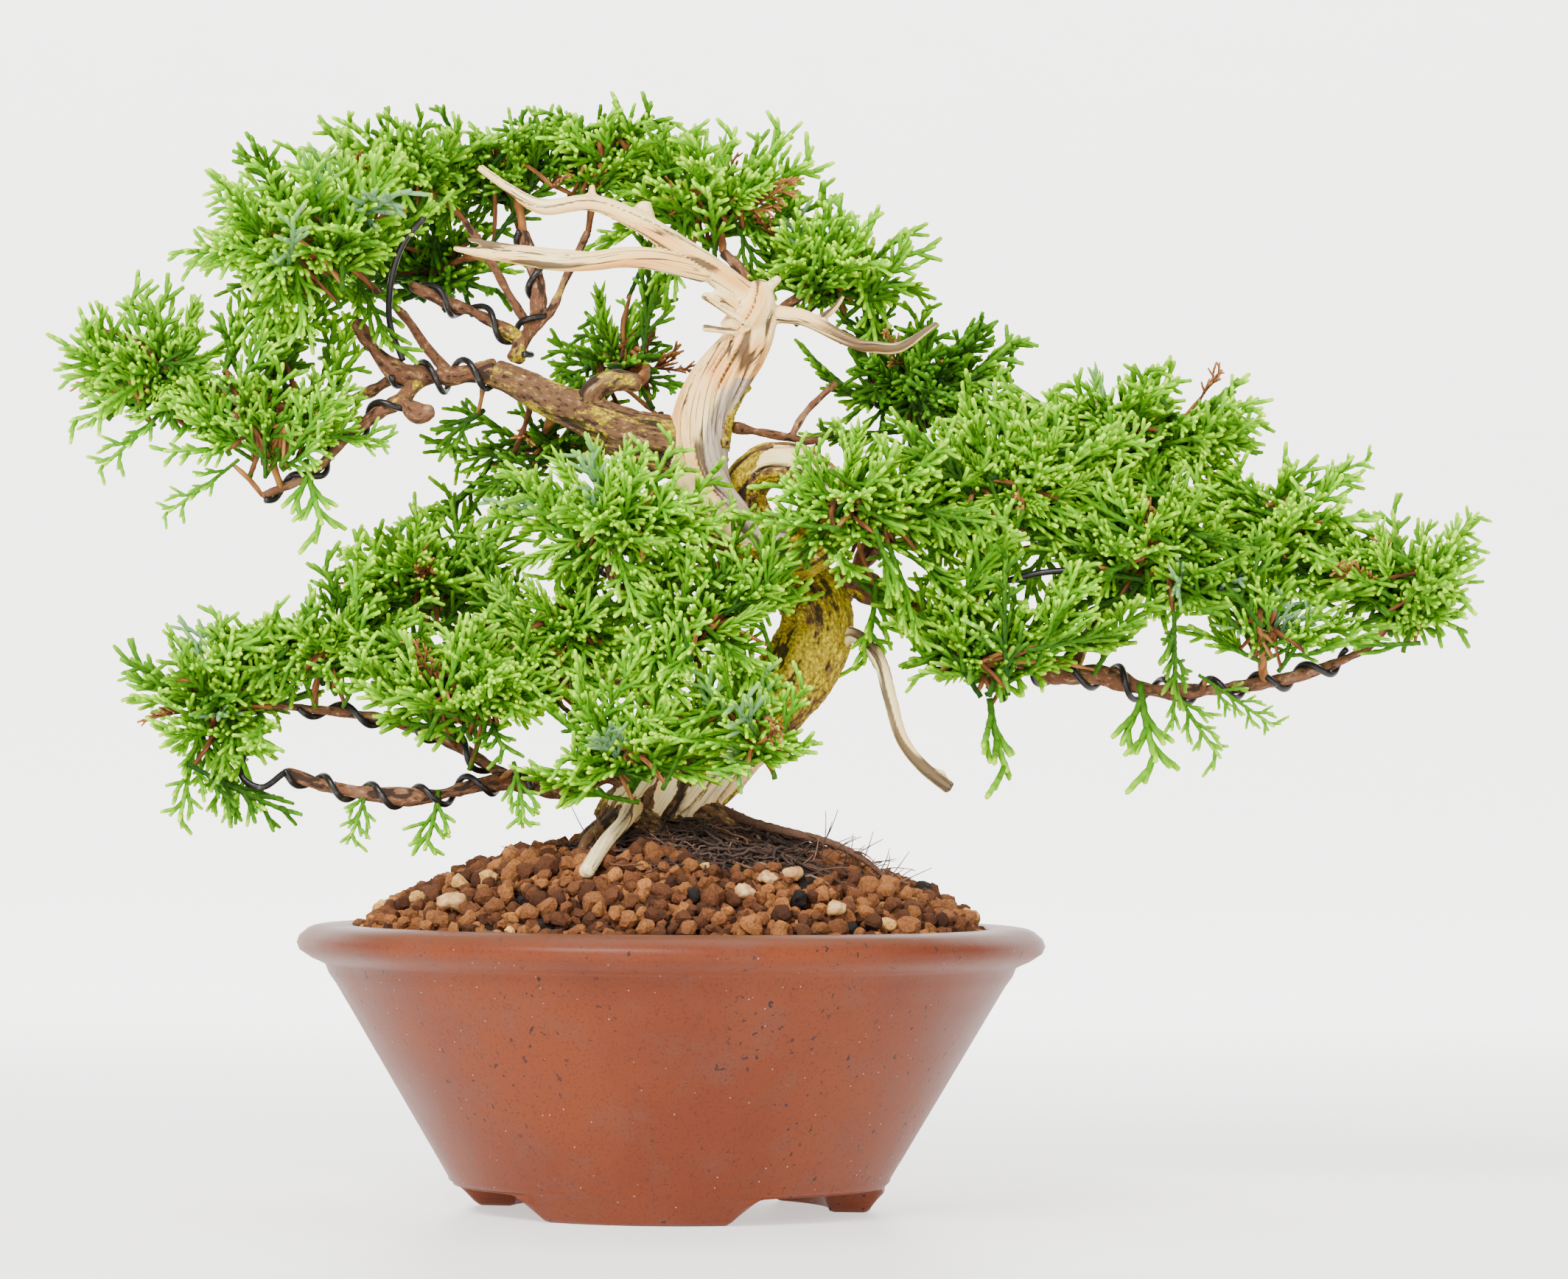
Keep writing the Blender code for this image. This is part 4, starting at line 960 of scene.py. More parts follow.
class SoilSettings(bpy.types.PropertyGroup):
    spacing: FloatProperty(
        name="Grain spacing", description="Between two grains' middles", default=3.25 * MM, unit="LENGTH",
    )
    smallest: FloatProperty(
        name="Smallest grain", description="Half its width", default=1.15 * MM, unit="LENGTH",
    )
    largest: FloatProperty(name="Largest grain", description="Half its width", default=3.1 * MM, unit="LENGTH")
    grain: FloatVectorProperty(
        name="Akadama", description="Main colour", subtype="COLOR", default=(0.178, 0.061, 0.021),
    )
    grain_warm: FloatVectorProperty(
        name="Warm grains", description="Colour of the brighter grains",
        subtype="COLOR", default=(0.44, 0.165, 0.045),
    )
    grain_dark: FloatVectorProperty(
        name="Dark grains", description="Colour of the damp grains",
        subtype="COLOR", default=(0.045, 0.015, 0.007),
    )
    charcoal: FloatVectorProperty(
        name="Charcoal", description="Colour of the black bits", subtype="COLOR", default=(0.012, 0.011, 0.011),
    )
    tan: FloatVectorProperty(
        name="Pale grains", description="Colour of the pale grains",
        subtype="COLOR", default=(0.90, 0.48, 0.13),
    )


class BONSAI_OT_soil(bpy.types.Operator):
    """Heaps the soil's grains on the mound"""

    bl_idname = "bonsai.soil"
    bl_label = "Soil"

    def execute(self, context):
        settings = context.scene.bonsai_soil
        rng = np.random.default_rng(SOIL_SEED)
        rings, sides = 30, 96
        reach = np.linspace(0.02, 1, rings) * (MOUND_RADIUS + 1.4 * MM)
        turn = np.arange(sides) * math.tau / sides
        x, y = reach[:, None] * np.cos(turn), reach[:, None] * np.sin(turn)
        top = mound_height(x, y) - 1.7 * MM
        under = ball_height(x, y)
        top = np.where(under > 0, np.minimum(top, under - 3 * MM), top)
        points = np.stack([x, y, top], -1).reshape(-1, 3)
        points[:, 2] += 0.5 * MM * wander(points * 500, 2)
        skirt = points[-sides:] * (0.985, 0.985, 1) - (0, 0, 9 * MM)
        points = np.vstack([points, skirt, [[0, 0, float(top[0].mean())]], [[0, 0, POT_HEIGHT - 14 * MM]]])
        quads = facing_out(band(rings, sides))
        first, after = around(sides)
        crown = np.full(sides, len(points) - 2)
        bottom = np.full(sides, len(points) - 1)
        last = rings * sides
        tris = np.vstack([
            np.stack([first, after, crown], -1), np.stack([last + after, last + first, bottom], -1),
        ])
        # The bed shows only in the gaps between the grains: charcoal tone, darkened further as painted shade in
        # those gaps.
        shaded_bed_tone = np.tile((0.04, 0.30), (len(points), 1))

        variants = [crumb(rng, 2, 5) for _ in range(16)]
        buried = [crumb(rng, 1, 3) for _ in range(4)]
        places, sizes, deep = [], [], []
        count = int((MOUND_RADIUS / settings.spacing) ** 2 * math.pi * 1.3)
        for layer, (share, sink) in enumerate(((1.0, 0.4), (0.42, -0.75))):
            for k in range(int(count * share)):
                away = math.sqrt((k + 0.5) / (count * share)) * (MOUND_RADIUS + 1.2 * MM)
                angle = k * GOLDEN_ANGLE + layer
                px = away * math.cos(angle) + rng.normal(0, 0.25) * settings.spacing
                py = away * math.sin(angle) + rng.normal(0, 0.25) * settings.spacing
                size = settings.smallest + (settings.largest - settings.smallest) * rng.beta(1.8, 2.5)
                if math.hypot(px, py) > MOUND_RADIUS + 1.1 * MM - 0.4 * size:
                    continue
                mat_edge = 29 * MM + 9 * MM * wander(np.array([px * 60, py * 60, 0.5]))
                mat_edge += 7 * MM if px > 6 * MM else 0
                if math.hypot(px - 4 * MM, (py + 2 * MM) * 0.9) < mat_edge:
                    continue
                ground = ground_height(px, py, 1 * MM)
                places.append((px, py, ground - sink * size - 0.2 * MM))
                sizes.append(size)
                deep.append(layer == 0 and rng.random() < 0.2)
        kinds = rng.random(len(places))
        tones = 0.16 + 0.60 * rng.beta(1.4, 1.5, len(places))
        charcoal, pale = 0.018, 0.016  # their shares of the grains
        tones[kinds < charcoal] = 0.02
        tones[(kinds > charcoal) & (kinds < charcoal + pale)] = 0.9
        shades = rng.uniform(0.5, 1, len(places))
        grains = heap(rng, variants, buried, places, sizes, tones, shades, deep)
        shift = len(points)
        tris = np.vstack([tris, grains[1] + shift])
        mesh = make_mesh("soil", np.vstack([points, grains[0]]) + (AXIS_X, 0, 0), quads, tris, smooth=False)
        set_tones(mesh, np.vstack([shaded_bed_tone, grains[2]]))
        stops = [
            (0.06, settings.charcoal), (0.16, settings.grain_dark), (0.42, settings.grain),
            (0.72, settings.grain_warm), (0.86, settings.tan),
        ]
        piece("soil_grains", mesh, tone_finish("akadama", stops, 0.95), ["akadama_soil"])
        return {"FINISHED"}


class BONSAI_OT_pebbles(bpy.types.Operator):
    """Sets the pale pebbles on the mound"""

    bl_idname = "bonsai.pebbles"
    bl_label = "Pebbles"

    def execute(self, context):
        rng = np.random.default_rng(PEBBLE_SEED)
        sand = (0.50, 0.27, 0.09), (0.72, 0.50, 0.25), (0.32, 0.13, 0.04)
        finish = speckled_finish("pale pebble", *sand, 420, 0.8)
        for name in ("pebble_left", "pebble_front", "pebble_middle", "pebble_upper", "pebble_right"):
            low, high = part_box(name)
            points, faces = crumb(rng, 3, 4)
            points /= np.abs(points).max(0)
            points = points * np.array((high - low) / 2) + np.array((high + low) / 2) - (0, 0, 0.5 * MM)
            piece(name + "_stone", make_mesh(name, points, faces), finish, [name])
        return {"FINISHED"}


def strand(rng, start, heading, length, radius, hug, sides=5):
    """A root that wanders over the root ball, its height above the ground given by hug."""
    count = max(5, int(length / (1.6 * MM)))
    at, points = np.array(start, float), []
    heading = np.array(heading, float)
    rise = rng.uniform(0.1, 1.0) * MM
    for k in range(count):
        points.append(at.copy())
        heading = unit(heading + rng.normal(0, 0.33, 2))
        at[:2] += heading * length / count
        rise += rng.normal(0, 0.35) * MM
        rise = min(max(rise, -0.8 * MM), 2.8 * MM)
        at[2] = ground_height(*at[:2]) + hug + rise
    radii = radius * np.linspace(1, 0.45, count)
    return sweep(np.array(points), radii, sides)


class BONSAI_OT_roots(bpy.types.Operator):
    """Mats the fine roots over the root ball and lays the long root"""

    bl_idname = "bonsai.roots"
    bl_label = "Roots"

    def execute(self, context):
        rng = np.random.default_rng(ROOT_SEED)
        wood = context.scene.bonsai_wood
        rings, sides = 34, 96
        reach = np.linspace(0.01, 1.04, rings) * BALL_RADIUS
        turn = np.arange(sides) * math.tau / sides
        x, y = reach[:, None] * np.cos(turn) + BALL_SHIFT, reach[:, None] * np.sin(turn)
        top = ball_height(x, y)
        flat = np.stack([x, y, 0 * x], -1).reshape(-1, 3)
        top = top + (rough(flat * 210, 3, 6) * 2.2 * MM - 1.6 * MM).reshape(top.shape)
        dome = np.stack([x, y, np.where(reach[:, None] > 39 * MM, top - 3 * MM, top)], -1).reshape(-1, 3)
        quads = facing_out(band(rings - 1, sides))
        ends = len(dome)
        dome = np.vstack([dome, [[BALL_SHIFT, 0, dome[:sides, 2].mean()]], [[BALL_SHIFT, 0, BALL_LOW.z + 8 * MM]]])
        first, after = around(sides)
        last = (rings - 1) * sides
        tris = np.vstack([
            np.stack([first, after, np.full(sides, ends)], -1),
            np.stack([last + after, last + first, np.full(sides, ends + 1)], -1),
        ])
        shapes = [(dome, quads, tris)]
        tones = [np.tile((0.08, 0.7), (len(dome), 1))]
        for _ in range(820):
            angle = rng.uniform(0, math.tau)
            away = rng.uniform(5, 38) * MM
            start = (BALL_SHIFT + away * math.cos(angle), away * math.sin(angle))
            start = (*start, float(ball_height(*start)) + 0.3 * MM)
            outward = (math.cos(angle + rng.normal(0, 1.1)), math.sin(angle + rng.normal(0, 1.1)))
            pale = rng.random() < 0.10
            length = rng.uniform(7, 28) * MM
            shape = strand(rng, start, outward, length, rng.choice((0.2, 0.27, 0.36, 0.5)) * MM, 0.1 * MM)
            shapes.append(shape)
            tone = rng.uniform(0.72, 0.98) if pale else rng.uniform(0.0, 0.5)
            tones.append(np.tile((tone, rng.uniform(0.55, 1)), (len(shape[0]), 1)))
        for k in range(70):
            angle = rng.uniform(-0.95, 0.6) if k % 3 else rng.uniform(0, math.tau)
            away = rng.uniform(26, 47) * MM
            bx, by = 8 * MM + away * math.cos(angle), away * math.sin(angle) * 0.8 - 3 * MM
            base = np.array((bx, by, ground_height(bx, by)))
            lean = unit(np.array((math.cos(angle), math.sin(angle), rng.uniform(0.2, 1.3))))
            length = rng.uniform(4, 10) * MM
            t = np.linspace(0, 1, 9)[:, None]
            bend = rng.normal(0, 0.6, 3)
            hair = base + lean * length * t + bend * length * t**2 * 0.6
            shape = sweep(hair, np.linspace(0.22, 0.10, 9) * MM, 5)
            shapes.append(shape)
            tones.append(np.tile((rng.uniform(0.3, 0.95), 1), (len(shape[0]), 1)))
        points, quads, tris = joined(shapes)
        mesh = make_mesh("root_mat", points + (AXIS_X, 0, 0), quads, tris)
        set_tones(mesh, np.vstack(tones))
        stops = [(0.0, wood.root_dark), (0.55, wood.root), (0.75, wood.twig), (1.0, wood.root_pale)]
        finish = tone_finish("fine roots", stops, 0.8)
        piece("root_mat", mesh, finish, ["root_ball"])

        route = world([
            (12, -4, 8.5, 1.3), (19, -12, 5.7, 1.2), (28, -17, 3.4, 1.1), (38, -18, 0.9, 0.9),
            (46, -18, -3, 0.8), (53, -19, -8.6, 0.5),
        ])
        run = smooth_run(route, 0.5 * MM)
        radii = run[:, 3] * (1 + 0.16 * rough(run[:, :3] * 900, 2, 9))
        shapes = [sweep(run[:, :3] + (0, 0, 0.3 * MM), radii, 12)]
        for share, swing in ((0.35, 1), (0.5, -1), (0.62, 1), (0.75, -1), (0.9, 1)):
            base = run[int(share * (len(run) - 1)), :3]
            t = np.linspace(0, 1, 9)[:, None]
            off = np.array((6, 3.5 * swing, 2.5)) * MM
            side_root = base + off * t + np.array((0, 0, -5 * MM)) * t**2
            shapes.append(sweep(side_root, np.linspace(0.35, 0.12, 9) * MM, 6))
        points, quads, tris = joined(shapes)
        mesh = make_mesh("long_root_run", points, quads, tris)
        set_tones(mesh, np.tile((0.62, 0.9), (len(points), 1)))
        piece("long_root_run", mesh, finish, ["long_root"])
        return {"FINISHED"}


# ---------------------------------------------------------------- the wood


class WoodSettings(bpy.types.PropertyGroup):
    voxel: FloatProperty(
        name="Fineness", description="Side of the cells that the trunk is fused from",
        default=0.53 * MM, unit="LENGTH",
    )
    bark: FloatVectorProperty(
        name="Bark", description="Main colour", subtype="COLOR", default=(0.125, 0.060, 0.025),
    )
    # Dark bark, also painted into the bark's cracks as their shade.
    bark_dark: FloatVectorProperty(
        name="Bark cracks", description="Colour in the cracks", subtype="COLOR", default=(0.018, 0.010, 0.006),
    )
    bark_pale: FloatVectorProperty(
        name="Bark flakes", description="Colour of the pale flakes",
        subtype="COLOR", default=(0.36, 0.22, 0.11),
    )
    stem: FloatVectorProperty(
        name="Branch bark", description="Reddish bark of the branches",
        subtype="COLOR", default=(0.135, 0.055, 0.024),
    )
    stem_pale: FloatVectorProperty(
        name="Branch flakes", description="Pale flakes of the branches",
        subtype="COLOR", default=(0.36, 0.20, 0.11),
    )
    moss: FloatVectorProperty(
        name="Moss", description="Main colour", subtype="COLOR", default=(0.35, 0.240, 0.004),
    )
    moss_dark: FloatVectorProperty(
        name="Dark moss", description="Colour in its hollows", subtype="COLOR", default=(0.070, 0.056, 0.006),
    )
    moss_light: FloatVectorProperty(
        name="Light moss", description="Colour of its tips", subtype="COLOR", default=(0.74, 0.58, 0.02),
    )
    jin: FloatVectorProperty(
        name="Deadwood", description="Bleached wood", subtype="COLOR", default=(1.0, 0.66, 0.24),
    )
    jin_warm: FloatVectorProperty(
        name="Warm deadwood", description="Orange stain", subtype="COLOR", default=(0.92, 0.42, 0.090),
    )
    jin_pale: FloatVectorProperty(
        name="Pale deadwood", description="Ivory", subtype="COLOR", default=(1.0, 0.82, 0.40),
    )
    jin_grey: FloatVectorProperty(
        name="Grey fibres", description="Weathered fibres", subtype="COLOR", default=(0.36, 0.29, 0.25),
    )
    # Near-black painted shade for the deadwood's splits, carved and fine.
    jin_crack_shade: FloatVectorProperty(
        name="Fissures", description="Colour in the splits", subtype="COLOR", default=(0.040, 0.018, 0.009),
    )
    root: FloatVectorProperty(
        name="Roots", description="Fine roots", subtype="COLOR", default=(0.11, 0.066, 0.050),
    )
    root_dark: FloatVectorProperty(
        name="Dark roots", description="Damp roots", subtype="COLOR", default=(0.034, 0.022, 0.018),
    )
    root_pale: FloatVectorProperty(
        name="Pale roots", description="Dry roots", subtype="COLOR", default=(0.34, 0.225, 0.155),
    )
    twig: FloatVectorProperty(
        name="Twigs", description="Bare twigs", subtype="COLOR", default=(0.18, 0.068, 0.026),
    )
    wire_radius: FloatProperty(
        name="Wire radius", description="Half the training wire's width", default=0.8 * MM, unit="LENGTH",
    )
    wire: FloatVectorProperty(
        name="Wire", description="Anodised wire", subtype="COLOR", default=(0.022, 0.019, 0.019),
    )
    wire_worn: FloatVectorProperty(
        name="Worn wire", description="Where it is rubbed", subtype="COLOR", default=(0.11, 0.10, 0.10),
    )


def fused(name, runs, voxel):
    """The runs as one skin, with their joints melted together."""
    shapes = [sweep(run[:, :3], run[:, 3], 20) for run in runs]
    points, quads, tris = joined(shapes)
    rough_form = bpy.data.objects.new(name + "_form", make_mesh(name, points, quads, tris))
    bpy.context.scene.collection.objects.link(rough_form)
    remesh = rough_form.modifiers.new("fuse", "REMESH")
    remesh.mode = "VOXEL"
    remesh.voxel_size = voxel
    relax = rough_form.modifiers.new("relax", "SMOOTH")
    relax.factor, relax.iterations = 0.5, 3
    graph = bpy.context.evaluated_depsgraph_get()
    mesh = bpy.data.meshes.new_from_object(rough_form.evaluated_get(graph))
    bpy.data.objects.remove(rough_form, do_unlink=True)
    mesh.name = name
    return mesh


def along_runs(points, runs):
    """For each point: its run, place across the grain and along it in metres, and the run's own row there."""
    rows, local = [], []
    for number, run in enumerate(runs):
        along, side, other = carried_frames(run[:, :3])
        rows.append(np.column_stack([run, arc_length(run[:, :3]), np.full(len(run), number)]))
        local.append(np.stack([along, side, other], 1))
    rows, local = np.vstack(rows), np.vstack(local)
    owner = np.empty(len(points), np.int64)
    batch = 6000  # points at a time, to spare memory
    for first in range(0, len(points), batch):
        block = points[first:first + batch]
        gap = ((block[:, None] - rows[None, :, :3]) ** 2).sum(-1) / rows[None, :, 3] ** 2
        owner[first:first + batch] = gap.argmin(1)
    away = points - rows[owner, :3]
    along, side, other = (np.einsum("ij,ij->i", away, local[owner, k]) for k in range(3))
    grain = np.stack([side, other, rows[owner, -2] + along], -1)
    return grain, rows[owner]


def carve(mesh, runs, twist=0.0, hollows=(), strip=None):
    """Gives a fused skin its bark, moss and bleached wood, and marks which is which, and where painted shade goes
    in its cracks, splits and hollows.
    """
    points, normals = points_of(mesh), normals_of(mesh)
    grain, rows = along_runs(points, runs)
    turn = grain[:, 2] * twist
    across = grain[:, 0] * np.cos(turn) - grain[:, 1] * np.sin(turn)
    other = grain[:, 0] * np.sin(turn) + grain[:, 1] * np.cos(turn)
    run_shift = rows[:, -1:] * 0.05
    grain = np.column_stack([across, other, grain[:, 2]]) + run_shift
    radius, bare, mossy = rows[:, 3], rows[:, 4].copy(), rows[:, 5].copy()
    size = np.clip(radius / (7 * MM), 0.25, 1)
    patches = rough(grain * (1, 1, 0.35) / (4.5 * MM), 3, 1)
    stains = wander(grain * (1, 1, 0.3) / (6 * MM), 7)
    grey, warm = 0.25 * stains, np.clip(0.45 * stains, 0, 1)
    if strip is not None:
        bare, mossy, grey, warm = strip(points, normals, bare, mossy, grey, warm)
    bare_mark = step_between(-0.10, 0.10, bare - 0.5 + 0.45 * patches * (1 - np.abs(2 * bare - 1) ** 3))
    ridges = rough(grain * (1, 1, 0.13) / (1.9 * MM), 3, 2)
    flakes = rough(grain * (1, 1, 0.45) / (1.3 * MM), 3, 3)
    bark_rise = 0.62 * ridges + 0.42 * flakes + 0.35
    lines = np.abs(wander(grain * (1, 1, 0.07) / (2.2 * MM), 4))
    where = step_between(-0.55, 0.0, wander(grain * (1, 1, 0.4) / (7 * MM), 8))
    split = (1 - step_between(0.06, 0.26, lines)) * where
    fibres = rough(grain * (1, 1, 0.05) / (1.1 * MM), 2, 5)
    flutes = wander(grain * (1, 1, 0.07) / (3.6 * MM), 6)
    bare_rise = 0.50 * flutes + 0.22 * fibres - 1.05 * split * (0.35 + size)
    rise = (bark_rise * (1 - bare_mark) + bare_rise * bare_mark) * size * MM
    # Painted shade in the bark's cracks, where its ridges and flakes sink lowest, and in the deadwood's carved
    # splits.
    bark_crack_shade = step_between(0.12, 0.60, -0.7 * ridges - 0.5 * flakes)
    deep = np.clip(split * bare_mark + (1 - bare_mark) * bark_crack_shade, 0, 1)
    # Each hollow is carved in, made bare and wholly marked for painted shade.
    for centre, reach, depth in hollows:
        inside = 1 - step_between(0.35, 1.0, np.linalg.norm((points - centre) / reach, axis=1))
        rise -= depth * inside
        deep = np.maximum(deep, inside)
        bare_mark = np.maximum(bare_mark, inside * 0.8)
    move_points(mesh, points + normals * rise[:, None])
    # The marks' third channel, deep, is where painted shade goes: the bark's cracks, the deadwood's splits and the
    # hollows.
    paint(mesh, "marks", (bare_mark, mossy, deep))
    paint(mesh, "weather", (np.clip(grey, 0, 1), np.clip(warm, 0, 1), 0 * grey))
    set_vectors(mesh, "grain", grain)


def marked(rows, bare, mossy, end_mossy=None):
    """Run rows with the same marks all along, or moss that grows towards the end."""
    ends = mossy if end_mossy is None else end_mossy
    moss = np.linspace(mossy, ends, len(rows))
    return world([(*row, bare, m) for row, m in zip(rows, moss)])


def column_strip(points, normals, bare, mossy, grey, warm):
    """The trunk's own patches: live vein, moss under the loop, grey and stained wood on the column."""
    height = (points[:, 2] - CREST) / MM
    x = (points[:, 0] - AXIS_X) / MM
    column = (height > 76) & (height < 127) & (x < 24)
    vein = column & (normals[:, 0] > 0.82) & (height < 112) & (height > 93) & (x < 18)
    bare = np.where(vein, 0.1, bare)
    mossy = np.where(vein, 0.95, mossy)
    loop = (height > 64) & (height < 96)
    lower_edge = loop & (height < 92) & (normals[:, 2] < -0.35) & (points[:, 1] < 2 * MM) & (x > 4) & (x < 34)
    bare = np.where(lower_edge, bare * 0.4, bare)
    mossy = np.where(lower_edge, 0.7, mossy)
    inner = loop & (normals[:, 2] > -0.05) & (points[:, 1] < -3 * MM) & (x > 2) & (x < 28)
    bare = np.where(inner, 0.95, bare)
    # The column goes grey on its side that faces right, more so lower down.
    to_right = step_between(-0.1, 0.5, normals[:, 0] + 0.010 * (100 - height))
    grey = np.where(column | inner, 0.75 * to_right * (height < 113), grey)
    grey = np.where((height < 18) & (bare > 0.3), 0.35, grey)
    near_knot = 1.3 * np.exp(-(((height - 116) / 6.5) ** 2)) * step_between(-0.9, 0.3, normals[:, 0])
    warm = np.where(column, np.clip(0.12 + near_knot, 0, 1), warm)
    return bare, mossy, grey, warm


class BONSAI_OT_trunk(bpy.types.Operator):
    """Fuses and carves the trunk, its roots and its deadwood"""

    bl_idname = "bonsai.trunk"
    bl_label = "Trunk and deadwood"

    def execute(self, context):
        settings = context.scene.bonsai_wood
        runs = [world(TRUNK), marked(LEFT_LIMB, 0.12, 0.45), marked(LIMB_ELBOW, 0.1, 0.3)]
        jins = (
            UPPER_JIN, UPPER_JIN_KNUCKLE, UPPER_JIN_STUB, LOWER_JIN, LOWER_JIN_SPLIT, RIGHT_JIN, RIGHT_JIN_FORK,
        )
        runs += [marked(rows, 1, 0) for rows in (*jins, *KNOT_LUMPS)]
        runs += [
            marked(HANGING_JIN, 0.85, 0.05, 0.7), marked(HANGING_JIN_SPUR, 0.5, 0.6), marked(CUT_STUB, 1, 0),
            marked(BARK_STUB, 0.2, 0), marked(ROOT_FLARE, 0.2, 0.3),
        ]
        runs += [marked(rows, 0.2, 0.1) for rows in ROOT_FORKS]
        runs = [smooth_run(run, 0.7 * MM) for run in runs]
        mesh = fused("trunk_wood", runs, settings.voxel)
        # A hollow in the trunk, carved and painted dark as its shade.
        hollows = [(place(25.5, -7, 55), np.array((5.5, 6, 5)) * MM, 4.5 * MM)]
        carve(mesh, runs, 22, hollows, column_strip)
        finish = wood_finish("bark and deadwood", settings, settings.bark, settings.bark_pale, settings.bark_dark)
        piece("trunk_wood", mesh, finish, ["trunk"])
        return {"FINISHED"}


class BONSAI_OT_branches(bpy.types.Operator):
    """Fuses and carves each branch"""

    bl_idname = "bonsai.branches"
    bl_label = "Branches"

    def execute(self, context):
        settings = context.scene.bonsai_wood
        finish = wood_finish("branch bark", settings, settings.stem, settings.stem_pale, settings.bark_dark)
        for name, stems in STEMS.items():
            mossy = 0.45 if name in ("left_branch", "right_branch", "crown_branch") else 0.1
            runs = [smooth_run(marked(rows, 0.06, mossy, 0.0), 0.6 * MM) for rows in stems]
            for run in runs:
                run[:, 3] *= 0.90 + 0.30 * rough(run[:, :3] * 230, 2, 12)
            mesh = fused(name + "_wood", runs, 0.42 * MM)
            carve(mesh, runs)
            piece(name + "_wood", mesh, finish, [name])
        return {"FINISHED"}


def coil_route(rows, start, end, turns, wire):
    """Points wound round a stem's run, resting on its bark."""
    run = smooth_run(world(rows), 0.5 * MM)
    length = arc_length(run[:, :3])
    _, side, other = carried_frames(run[:, :3])
    at = np.linspace(start, end, int((end - start) * length[-1] / (0.45 * MM))) * length[-1]
    frames = [np.stack([np.interp(at, length, column) for column in table.T], -1) for table in (run, side, other)]
    centre, radius = frames[0][:, :3], frames[0][:, 3]
    angle = (at - at[0]) * turns * math.tau / (10 * MM) + rows[0][0]  # each coil starts at its own turn
    off = np.cos(angle)[:, None] * frames[1] + np.sin(angle)[:, None] * frames[2]
    return centre + off * (radius + 0.8 * wire + 0.15 * MM)[:, None]


class BONSAI_OT_wires(bpy.types.Operator):
    """Winds the training wires round the branches"""

    bl_idname = "bonsai.wires"
    bl_label = "Training wires"

    def execute(self, context):
        settings = context.scene.bonsai_wood
        finish = wire_finish(settings)
        wire = settings.wire_radius
        for name, stem, run, start, end, turns in COILS + EXTRA_COILS:
            route = coil_route(STEMS[stem][run], start, end, turns, wire)
            shape = sweep(route, np.full(len(route), wire), 10)
            nodes = [name] if any(name == row[0] for row in COILS) else []
            piece(name + "_coil", make_mesh(name, *shape), finish, nodes)
        for name, rows in FREE_WIRES.items():
            route = smooth_run(world([(*row, 1) for row in rows]))[:, :3]
            piece(name, make_mesh(name, *sweep(route, np.full(len(route), wire), 10)), finish)
        return {"FINISHED"}


# ---------------------------------------------------------------- the foliage


class LeafSettings(bpy.types.PropertyGroup):
    cord: FloatProperty(
        name="Cord radius", description="Half the width of a scale-leaf cord", default=0.60 * MM, unit="LENGTH",
    )
    scale_pitch: FloatProperty(
        name="Scale pitch", description="From one pair of scale leaves to the next",
        default=0.92 * MM, unit="LENGTH",
    )
    fullness: FloatProperty(
        name="Fullness", description="More or fewer sprays in every pad", default=1.12, min=0.1, soft_max=2,
    )
    withered: FloatProperty(
        name="Withered", description="Share of dead brown sprays", subtype="FACTOR", default=0.035, min=0, max=1,
    )
    leaf_deep: FloatVectorProperty(
        name="Deep shade", description="Old cords inside", subtype="COLOR", default=(0.011, 0.040, 0.007),
    )
    leaf_shade: FloatVectorProperty(
        name="Shade green", description="Older cords", subtype="COLOR", default=(0.036, 0.110, 0.007),
    )
    leaf_mid: FloatVectorProperty(
        name="Green", description="Middle of the cords", subtype="COLOR", default=(0.078, 0.265, 0.006),
    )
    leaf_fresh: FloatVectorProperty(
        name="Fresh green", description="Young cords", subtype="COLOR", default=(0.190, 0.47, 0.004),
    )
    leaf_tip: FloatVectorProperty(
        name="Tip green", description="Growing tips", subtype="COLOR", default=(0.52, 0.92, 0.010),
    )
    leaf_wax: FloatVectorProperty(
        name="Waxy bloom", description="Whitish bloom", subtype="COLOR", default=(0.15, 0.29, 0.14),
    )
    twig_dark: FloatVectorProperty(
        name="Old twigs", description="Shaded twigs", subtype="COLOR", default=(0.045, 0.018, 0.009),
    )
    twig: FloatVectorProperty(
        name="Twigs", description="Brown twigs", subtype="COLOR", default=(0.19, 0.072, 0.026),
    )
    twig_pale: FloatVectorProperty(
        name="Young twigs", description="Orange twigs", subtype="COLOR", default=(0.42, 0.19, 0.05),
    )


AHEAD = np.array((1.0, 0, 0))  # the way that every stock spray grows


